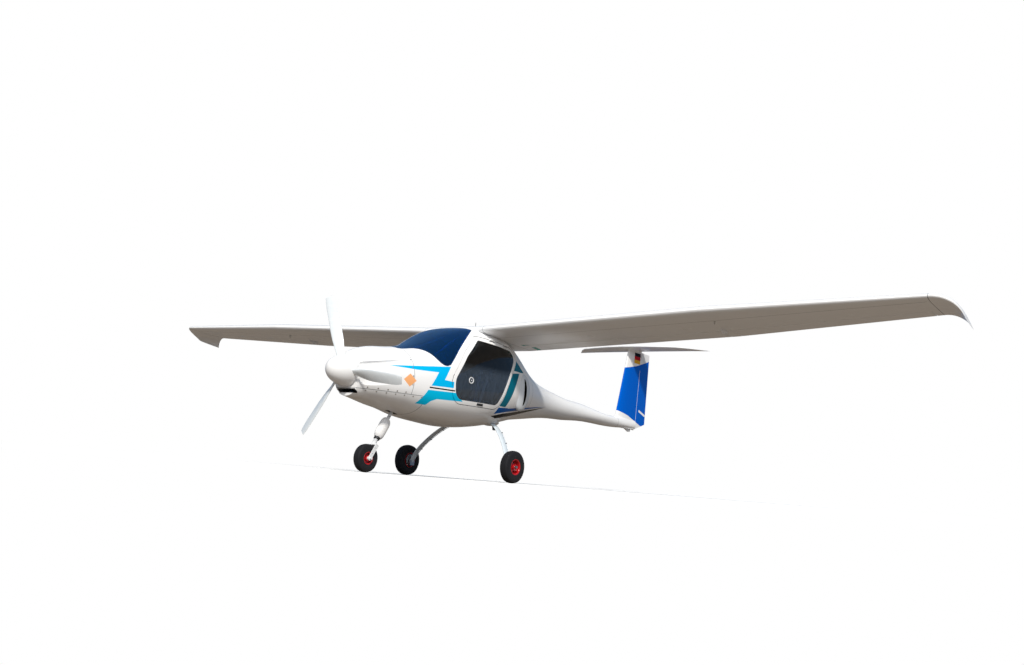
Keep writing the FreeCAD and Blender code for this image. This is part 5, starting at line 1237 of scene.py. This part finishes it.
TICKS, TICK_SHARE = 12, 0.055
TICK_INSIDE, TICK_OUTSIDE = 0.36, 0.46
dial, tree, surface = new_material("printed_dial_card", Specular_IOR_Level=0.2)
wear(tree, surface, 60, 0.5, 0.6, 0.01)
uv = add(tree, "UVMap").outputs[0]
middle = add(tree, "VectorMath", [(0, uv), (1, (0.5, 0.5, 0.0))], operation="SUBTRACT")
split = add(tree, "SeparateXYZ", [(0, middle.outputs[0])])
angle = add(tree, "Math", [(0, split.outputs["Y"]), (1, split.outputs["X"])], operation="ARCTAN2")
turns = add(tree, "Math", [(0, angle.outputs[0]), (1, TICKS / math.tau)], operation="MULTIPLY")
within = add(tree, "Math", [(0, turns.outputs[0]), (1, 0.5)], operation="PINGPONG")
tick = add(tree, "Math", [(0, within.outputs[0]), (1, TICK_SHARE)], operation="LESS_THAN")
radius = add(tree, "VectorMath", [(0, middle.outputs[0])], operation="LENGTH")
for limit, test in ((TICK_INSIDE, "GREATER_THAN"), (TICK_OUTSIDE, "LESS_THAN")):
    ring = add(tree, "Math", [(0, radius.outputs["Value"]), (1, limit)], operation=test)
    tick = add(tree, "Math", [(0, tick.outputs[0]), (1, ring.outputs[0])], operation="MULTIPLY")
tone = add(tree, "Mix", [(0, tick.outputs[0]), (6, linear("#0B0C0E")), (7, linear("#E4E6E4"))],
           data_type="RGBA")
tree.links.new(tone.outputs[2], surface.inputs["Base Color"])
print("dial card with", TICKS, "ticks")

# %% [markdown]
# The bezels are blocks with a pocket, made by insetting the front face and pushing it in. The pane
# is a thin slab on the pocket's floor.

# %% Framed screens
PANEL_FACE = at(0, 1.2555, 0).y
BEZEL_RIM, BEZEL_EDGE = 0.014, 0.003
PANE_LIFT, PANE_THICK = 0.0006, 0.0004


def framed(name, across, up, width, height, deep):
    """A bezel with a pocket in its front face, and a flat pane in the pocket."""
    middle = Vector((across, PANEL_FACE + deep / 2, up))
    made = bmesh.new()
    block(made, (width, deep, height), middle, edge=BEZEL_EDGE, segments=3)
    front = max(made.faces, key=lambda face: face.calc_center_median().y + face.calc_area())
    bmesh.ops.inset_region(made, faces=[front], thickness=BEZEL_RIM, use_even_offset=True)
    bmesh.ops.translate(made, vec=(0, -deep * 0.5, 0), verts=front.verts)
    pane = [vert.co + Vector((0, PANE_LIFT, 0)) for vert in front.verts]
    piece(name + "_bezel", made, moulded, slot="cabin_trim")
    made = bmesh.new()
    slab(made, pane, PANE_THICK)
    piece(name + "_pane", made, glass, slot="glazing")


framed("screen_left", 0.235, 1.105, 0.280, 0.185, 0.014)
framed("screen_right", -0.235, 1.105, 0.280, 0.185, 0.014)
framed("radio", 0.0, 1.160, 0.150, 0.050, 0.012)
framed("transponder", 0.0, 1.100, 0.150, 0.045, 0.012)
print("four framed screens")

# %% [markdown]
# A round gauge is a turned ring with a card behind it and two hands. The card is a filled circle,
# laid upright, and its corners get their places on the UV map from their distance to the middle.

# %% Round dials
DIAL_SIZE = 0.030
CARD_SIZE = DIAL_SIZE - 0.008
DIAL_RING = [(0, 0), (0.006, 0), (0.009, -0.003), (0.009, -0.006), (0.003, -0.008),
             (0.003, -0.009), (0, 0)]
CARD_OUT, HANDS_OUT = 0.004, 0.0055
HANDS = ((0.7, 0.75, 0.0016), (3.6, 0.45, 0.0022))
HAND_REACH, HAND_TAIL, HAND_THICK = DIAL_SIZE - 0.012, 0.004, 0.0005


def round_dial(name, across, up):
    """A round gauge: a turned ring, a card with ticks, and two hands."""
    middle = Vector((across, PANEL_FACE, up))
    spun_piece(name + "_ring", [(along, DIAL_SIZE + out) for along, out in DIAL_RING], middle,
               (0, 1, 0), 40, moulded, slot="cabin_trim")
    made = bmesh.new()
    laid = (Matrix.Translation(middle + Vector((0, CARD_OUT, 0)))
            @ Matrix.Rotation(math.radians(-90), 4, "X"))
    bmesh.ops.create_circle(made, cap_ends=True, segments=40, radius=CARD_SIZE, matrix=laid)
    layer = made.loops.layers.uv.verify()
    for face in made.faces:
        for loop in face.loops:
            away = (loop.vert.co - middle) / (2 * CARD_SIZE)
            loop[layer].uv = (away.x + 0.5, away.z + 0.5)
    piece(name + "_card", made, dial, slot="control_black")
    made = bmesh.new()
    foot = middle + Vector((0, HANDS_OUT, 0))
    for turn, long, wide in HANDS:
        tip = Vector((math.cos(turn), 0, math.sin(turn)))
        aside = Vector((-tip.z, 0, tip.x)) * wide
        tail = tip * HAND_TAIL
        slab(made, [foot + tip * (long * HAND_REACH), foot + aside - tail, foot - aside - tail],
             HAND_THICK)
    piece(name + "_hands", made, zinc, slot="steel_grey")


dial_places = [(across, up) for across in (0.412, -0.412) for up in (1.160, 1.085)]
for number, (across, up) in enumerate(dial_places):
    round_dial("dial_%d" % (number + 1), across, up)
print(len(dial_places), "round dials")

# %% [markdown]
# Below the screens is a row of toggle switches and turning knobs. A toggle is a thin tapered lever
# on a hexagon nut, and a knob is a short lathe shape with a flat front.

# %% Switches and knobs
TOGGLES, FIRST_TOGGLE, TOGGLE_GAP = 9, 0.150, 0.022
SWITCH_ROW, KNOB_ROW = 1.000, 1.040
TOGGLE_LEVER = [(0, 0.0016), (0.014, 0.0026), (0.016, 0.002), (0.0165, 0)]
KNOBS = [(-0.060, KNOB_ROW, 0.014), (0.0, KNOB_ROW, 0.018), (0.060, KNOB_ROW, 0.014),
         (-0.180, SWITCH_ROW, 0.012), (-0.240, SWITCH_ROW, 0.012), (-0.300, SWITCH_ROW, 0.012)]

made = bmesh.new()
for number in range(TOGGLES):
    foot = Vector((FIRST_TOGGLE + number * TOGGLE_GAP, PANEL_FACE, SWITCH_ROW))
    bolt(made, foot, (0, 1, 0), 0.0065, 0.004)
    turned(made, TOGGLE_LEVER, foot + Vector((0, 0.003, 0)), (0, 1, 0.45), steps=12)
piece("toggle_switches", made, zinc, slot="steel_grey")
made = bmesh.new()
for across, up, size in KNOBS:
    knob = [(0, size), (0.004, size), (0.006, size * 0.85), (0.016, size * 0.8),
            (0.018, size * 0.7), (0.018, 0)]
    turned(made, knob, Vector((across, PANEL_FACE, up)), (0, 1, 0), steps=28)
piece("panel_knobs", made, moulded, slot="control_black")
print(TOGGLES, "switches and", len(KNOBS), "knobs")

# %% [markdown]
# The whisky compass is a bowl on a short stalk, and shows as a pale spot through the windshield.
# Two tubes brace the roof against the firewall, one ahead of each seat.

# %% Compass and brace tubes
COMPASS_PLACE = at(0, 1.190, 1.2805)
COMPASS_BOWL = [(-0.024, 0.0), (-0.022, 0.012), (-0.014, 0.022), (0.0, 0.027), (0.014, 0.024),
                (0.020, 0.016), (0.022, 0.0)]
COMPASS_FOOT = [(-0.030, 0.022), (-0.028, 0.022), (-0.020, 0.010), (-0.020, 0.0)]
made = bmesh.new()
for profile in (COMPASS_BOWL, COMPASS_FOOT):
    turned(made, profile, COMPASS_PLACE, (0, 0, 1), steps=36)
piece("compass", made, plain_paint, slot="airframe_white")

BRACE_RADIUS = 0.011
for side, sign in SIDES:
    line = [at(sign * 0.330, 1.130, 1.245), at(sign * 0.115, 1.840, 1.600)]
    bent_tube("brace_tube_" + side, line, BRACE_RADIUS, plain_paint, slot="airframe_white",
              smooth=False)
print("compass and two braces")

# %% [markdown]
# ## Levers, sticks and pedals
# The console between the seats carries the power lever, the flap lever and the trim wheel. A lever
# is a thin rod with a round knob, spun about its own leaning line.

# %% Levers and trim wheel
LEVERS = ((-0.010, 1.50, 0.090, -0.35), (0.012, 1.60, 0.120, 0.55))
CONSOLE_TOP = 0.7985
LEVER_RADIUS = 0.0035
LEVER_KNOB = [(-0.004, 0), (-0.002, 0.009), (0.010, 0.012), (0.022, 0.009), (0.024, 0)]
TRIM_WHEEL = [(-0.006, 0.0), (-0.006, 0.027), (-0.004, 0.030), (0.004, 0.030), (0.006, 0.027),
              (0.006, 0.0)]
made = bmesh.new()
for across, aft, long, lean in LEVERS:
    foot = at(across, aft, CONSOLE_TOP)
    way = Vector((0, lean, 1)).normalized()
    turned(made, [(0, LEVER_RADIUS), (long, LEVER_RADIUS), (long, 0)], foot, way, steps=16)
    turned(made, [(long + along, radius) for along, radius in LEVER_KNOB], foot, way, steps=24)
piece("console_levers", made, zinc, slot="steel_grey")
spun_piece("trim_wheel", TRIM_WHEEL, at(0, 1.420, 0.795), (1, 0, 0), 48, moulded,
           slot="control_black")
print(len(LEVERS), "levers and the trim wheel")

# %% [markdown]
# The sticks come out of the floor through rubber boots, whose folds are a zigzag line spun round
# the stick, each fold narrower than the one below. A small red button sits on each stick's grip.

# %% Boots and buttons
BOOT_FOOT, BOOT_TOP = [(0.0, 0.062), (0.004, 0.062)], [(0.062, 0.013), (0.066, 0.013)]
FOLDS, FOLD_UP, FOLD_WIDEST, FOLD_NARROWS, FOLD_DEEP = 4, 0.013, 0.052, 0.010, 0.008
folds = list(BOOT_FOOT)
for fold in range(FOLDS):
    wide = FOLD_WIDEST - FOLD_NARROWS * fold
    folds += [(0.008 + FOLD_UP * fold, wide - FOLD_DEEP), (0.015 + FOLD_UP * fold, wide)]
folds += BOOT_TOP
for side, sign in SIDES:
    spun_piece("stick_boot_" + side, folds, at(sign * SEAT_MIDDLE, 1.560, 0.6555), (0, 0, 1), 40,
               rubber, slot="control_black", sharp=180)
    made = bmesh.new()
    block(made, (0.014, 0.010, 0.020), at(sign * SEAT_MIDDLE, 1.5395, 0.992), edge=0.002)
    piece("stick_button_" + side, made, enamel, slot="hub_red")
print("boots of", FOLDS, "folds, and two buttons")

# %% [markdown]
# ## Door fittings
# Each door's pane has a round vent that swings open for air: a ring, a smoked flap and a knob.
# Below the pane, the door's skin has a flat latch. To sit truly on curved skin, a fitting is
# placed by a ray: it starts outside, runs inwards, and stops at the first surface, which also
# gives the direction that it faces.

# %% Rays on the solids
skins = {}


def skin_of(node):
    """The surface of a CAD node, made ready for rays once."""
    if node not in skins:
        skins[node] = BVHTree.FromObject(nodes[node], bpy.context.evaluated_depsgraph_get())
    return skins[node]


def touch(node, start, direction):
    """Where a ray first meets a solid, and the way the surface faces there."""
    place, normal = skin_of(node).ray_cast(start, Vector(direction))[:2]
    if place is None:
        raise ValueError("no surface of %s from %s" % (node, start))
    if normal.dot(Vector(direction)) > 0:
        normal = -normal
    return place, normal


print("the pane's face at the vent:", [round(v, 2) for v in
                                       touch("door_window_left", at(1, 1.6, 1.07), (-1, 0, 0))[1]])

# %% [markdown]
# The vent's three parts are lathe shapes about the way the pane faces, and the latch is two
# rounded plates, laid on the skin at the same slope.

# %% Vents and latches
VENT_AFT, VENT_UP = 1.600, 1.070
LATCH_AFT, LATCH_UP = 1.80, 0.826
VENT_RING = [(-0.001, 0.026), (-0.001, 0.035), (0.003, 0.035), (0.0045, 0.033), (0.0045, 0.029),
             (0.002, 0.026), (-0.001, 0.026)]
VENT_FLAP = [(0.0005, 0.0), (0.0005, 0.0245), (0.0025, 0.0245), (0.0025, 0.0)]
VENT_KNOB = [(0.0025, 0.006), (0.008, 0.006), (0.010, 0.004), (0.010, 0.0)]
for side, sign in SIDES:
    body = "door_" + side
    place, faces = touch("door_window_" + side, at(sign, VENT_AFT, VENT_UP), (-sign, 0, 0))
    spun_piece("door_vent_ring_" + side, VENT_RING, place, faces, 48, plain_paint, body,
               "airframe_white")
    spun_piece("door_vent_flap_" + side, VENT_FLAP, place, faces, 40, smoked_acrylic, body,
               "glazing")
    spun_piece("door_vent_knob_" + side, VENT_KNOB, place, faces, 20, plain_paint, body,
               "airframe_white")
    made = bmesh.new()
    place, faces = touch(body, at(sign, LATCH_AFT, LATCH_UP), (-sign, 0, 0))
    turn = Vector((1, 0, 0)).rotation_difference(faces).to_matrix().to_4x4()
    block(made, (0.003, 0.101, 0.026), place + faces * 0.0008, turn, edge=0.0012)
    block(made, (0.006, 0.085, 0.016), place + faces * 0.0048, turn, edge=0.0025, segments=3)
    piece("door_latch_" + side, made, moulded, body, "control_black")
print("door vents and latches")

# %% [markdown]
# ## Fasteners on the cowling
# Quarter-turn fasteners hold the two halves of the cowling, so that it comes off in a minute. They
# lie along its joints at even spacing: above and below the joint between the halves, and down the
# joint with the hull. Each is a low dome in a dished ring.

# %% Cowl fasteners
FIRST_FASTENER, FASTENER_GAP = 0.36, 0.105
ABOVE_JOINT, BELOW_JOINT, HULL_JOINT = 0.846, 0.814, 0.836
FASTENER = [(-0.001, 0.0085), (0.0008, 0.008), (0.0006, 0.006), (0.0016, 0.005), (0.0020, 0.0)]
made = bmesh.new()
spots = []
for node, up, number in (("cowl_upper", ABOVE_JOINT, 5), ("cowl_lower", BELOW_JOINT, 7)):
    spots += [(sign, FIRST_FASTENER + step * FASTENER_GAP, up, node)
              for sign in (1, -1) for step in range(number)]
spots += [(sign, HULL_JOINT, up, "cowl_upper")
          for sign in (1, -1) for up in (0.93, 1.02, 1.11, 1.19)]
for sign, aft, up, node in spots:
    place, faces = touch(node, at(sign, aft, up), (-sign, 0, 0))
    turned(made, FASTENER, place, faces, steps=20)
piece("cowl_fasteners", made, zinc, slot="steel_grey")
print("cowl fasteners:", len(spots))

# %% [markdown]
# The spinner is held by small screws round its rim, three between each pair of blades. A screw
# that would lie under a blade is left out.

# %% Spinner screws
SCREWS, SCREW_AFT = 12, 0.250
FIRST_BLADE, BLADE_ROOM = math.radians(97), 0.2
SCREW = [(-0.001, 0.0045), (0.0008, 0.0042), (0.0014, 0.003), (0.0014, 0.0)]
blades = [FIRST_BLADE + math.tau * number / 3 for number in range(3)]
hub = at(0, SCREW_AFT, 1.004)


def clear_of_blades(turn):
    """Whether a place round the hub lies away from each blade's root."""
    return all(abs((turn - blade + math.pi) % math.tau - math.pi) >= BLADE_ROOM
               for blade in blades)


made = bmesh.new()
turns = [math.tau * (step + 0.5) / SCREWS for step in range(SCREWS)]
turns = [turn for turn in turns if clear_of_blades(turn)]
for turn in turns:
    way = Vector((math.cos(turn), 0, math.sin(turn)))
    place, faces = touch("spinner", hub + way * 0.5, -way)
    turned(made, SCREW, place, faces, steps=14)
piece("spinner_screws", made, zinc, "propeller", "steel_grey")
print("spinner screws:", len(turns))

# %% [markdown]
# The wing's underside has four round covers over its inspection holes, ahead of the flap and the
# aileron, and a ring for tying the aircraft down. A ray from below finds the skin for each.

# %% Inspection covers and tie-down rings
COVER_SPANS, COVER_AFT = (1.55, 2.70, 3.75, 4.35), 2.36
COVER = [(-0.001, 0.046), (0.0010, 0.045), (0.0016, 0.042), (0.0016, 0.0)]
TIE_SPAN, TIE_AFT = 3.10, 2.15
TIE_FOOT = [(-0.002, 0.011), (0.003, 0.011), (0.005, 0.008), (0.005, 0.0)]
RING_RADIUS, RING_DROP, RING_WIRE, RING_STEPS = 0.012, 0.015, 0.0025, 12
BELOW_WING = 0.9
for side, sign in SIDES:
    wing = "wing_" + side
    made = bmesh.new()
    for across in COVER_SPANS:
        place, faces = touch(wing, at(sign * across, COVER_AFT, BELOW_WING), (0, 0, 1))
        turned(made, COVER, place, faces, steps=40)
    piece("inspection_covers_" + side, made, plain_paint, slot="airframe_white")
    place = touch(wing, at(sign * TIE_SPAN, TIE_AFT, BELOW_WING), (0, 0, 1))[0]
    spun_piece("tie_down_foot_" + side, TIE_FOOT, place, (0, 0, -1), 24, zinc, slot="steel_grey")
    turns = [math.tau * step / RING_STEPS for step in range(RING_STEPS + 1)]
    loop = [place + Vector((0, RING_RADIUS * math.cos(turn),
                            RING_RADIUS * math.sin(turn) - RING_DROP)) for turn in turns]
    bent_tube("tie_down_ring_" + side, loop, RING_WIRE, zinc, slot="steel_grey")
print("covers and rings under both wings")

# %% [markdown]
# ## The wall of the right-hand ledge
# The solid of the upper cowling lacks the wall behind the ledge's groove on the right, where the
# real cowling is closed on both sides. The left side is whole, so its surface is read by rays from
# outside on a fine grid, and mirrored. A grid point is marked where the right side has no skin to
# match.

# %% Left side read as a grid
LEDGE_STEP, LEDGE_INSET = 0.0025, 0.0003
LEDGE_FRONT, LEDGE_FOOT = 0.259, 0.985
LEDGE_COLUMNS, LEDGE_ROWS = 230, 104
RAY_FROM, SAME_SKIN = 0.9, 0.002
cowl = skin_of("cowl_upper")
grid = {}
for column in range(LEDGE_COLUMNS):
    for row in range(LEDGE_ROWS):
        aft, up = LEDGE_FRONT + column * LEDGE_STEP, LEDGE_FOOT + row * LEDGE_STEP
        here = cowl.ray_cast(at(RAY_FROM, aft, up), Vector((-1, 0, 0)), RAY_FROM)[0]
        there = cowl.ray_cast(at(-RAY_FROM, aft, up), Vector((1, 0, 0)), RAY_FROM)[0]
        if here is not None:
            gone = there is None or abs(there.x + here.x) > SAME_SKIN
            grid[column, row] = (Vector((LEDGE_INSET - here.x, here.y, here.z)), gone)
print("grid points without a wall:", sum(gone for place, gone in grid.values()), "of", len(grid))

# %% [markdown]
# Only the cells where the wall is missing are kept, and a margin of a few cells round them. They
# lie 0.3 mm under the skin, so that their edge hides beneath it, and get the thickness of glass
# fibre.

# %% Right-hand ledge wall
LEDGE_LAP, LEDGE_WALL = 3, 0.003
laps = range(-LEDGE_LAP, LEDGE_LAP + 1)
kept = {(column + over, row + above) for (column, row), (place, gone) in grid.items() if gone
        for over in laps for above in laps}
made = bmesh.new()
corners = {}
for column in range(LEDGE_COLUMNS - 1):
    for row in range(LEDGE_ROWS - 1):
        keys = [(column, row), (column + 1, row), (column + 1, row + 1), (column, row + 1)]
        if all(key in grid for key in keys) and any(key in kept for key in keys):
            for key in keys:
                if key not in corners:
                    corners[key] = made.verts.new(grid[key][0])
            made.faces.new([corners[key] for key in keys])
bmesh.ops.recalc_face_normals(made, faces=made.faces)
print("ledge wall of", len(made.faces), "cells")
bmesh.ops.solidify(made, geom=list(made.faces), thickness=LEDGE_WALL)
piece("cowl_ledge_wall_right", made, hull_paint_and_shade, slot="airframe_white")

# %% [markdown]
# ## Size
# Last, the box of all that is seen is measured and printed. The box of the solids was printed at
# the start, so the two can be set side by side to see whether a small piece stands out past the
# aircraft's real size.

# %% Measure the size and finish
low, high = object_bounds()
print("visual box:", [round(v, 3) for v in (*low, *high)])
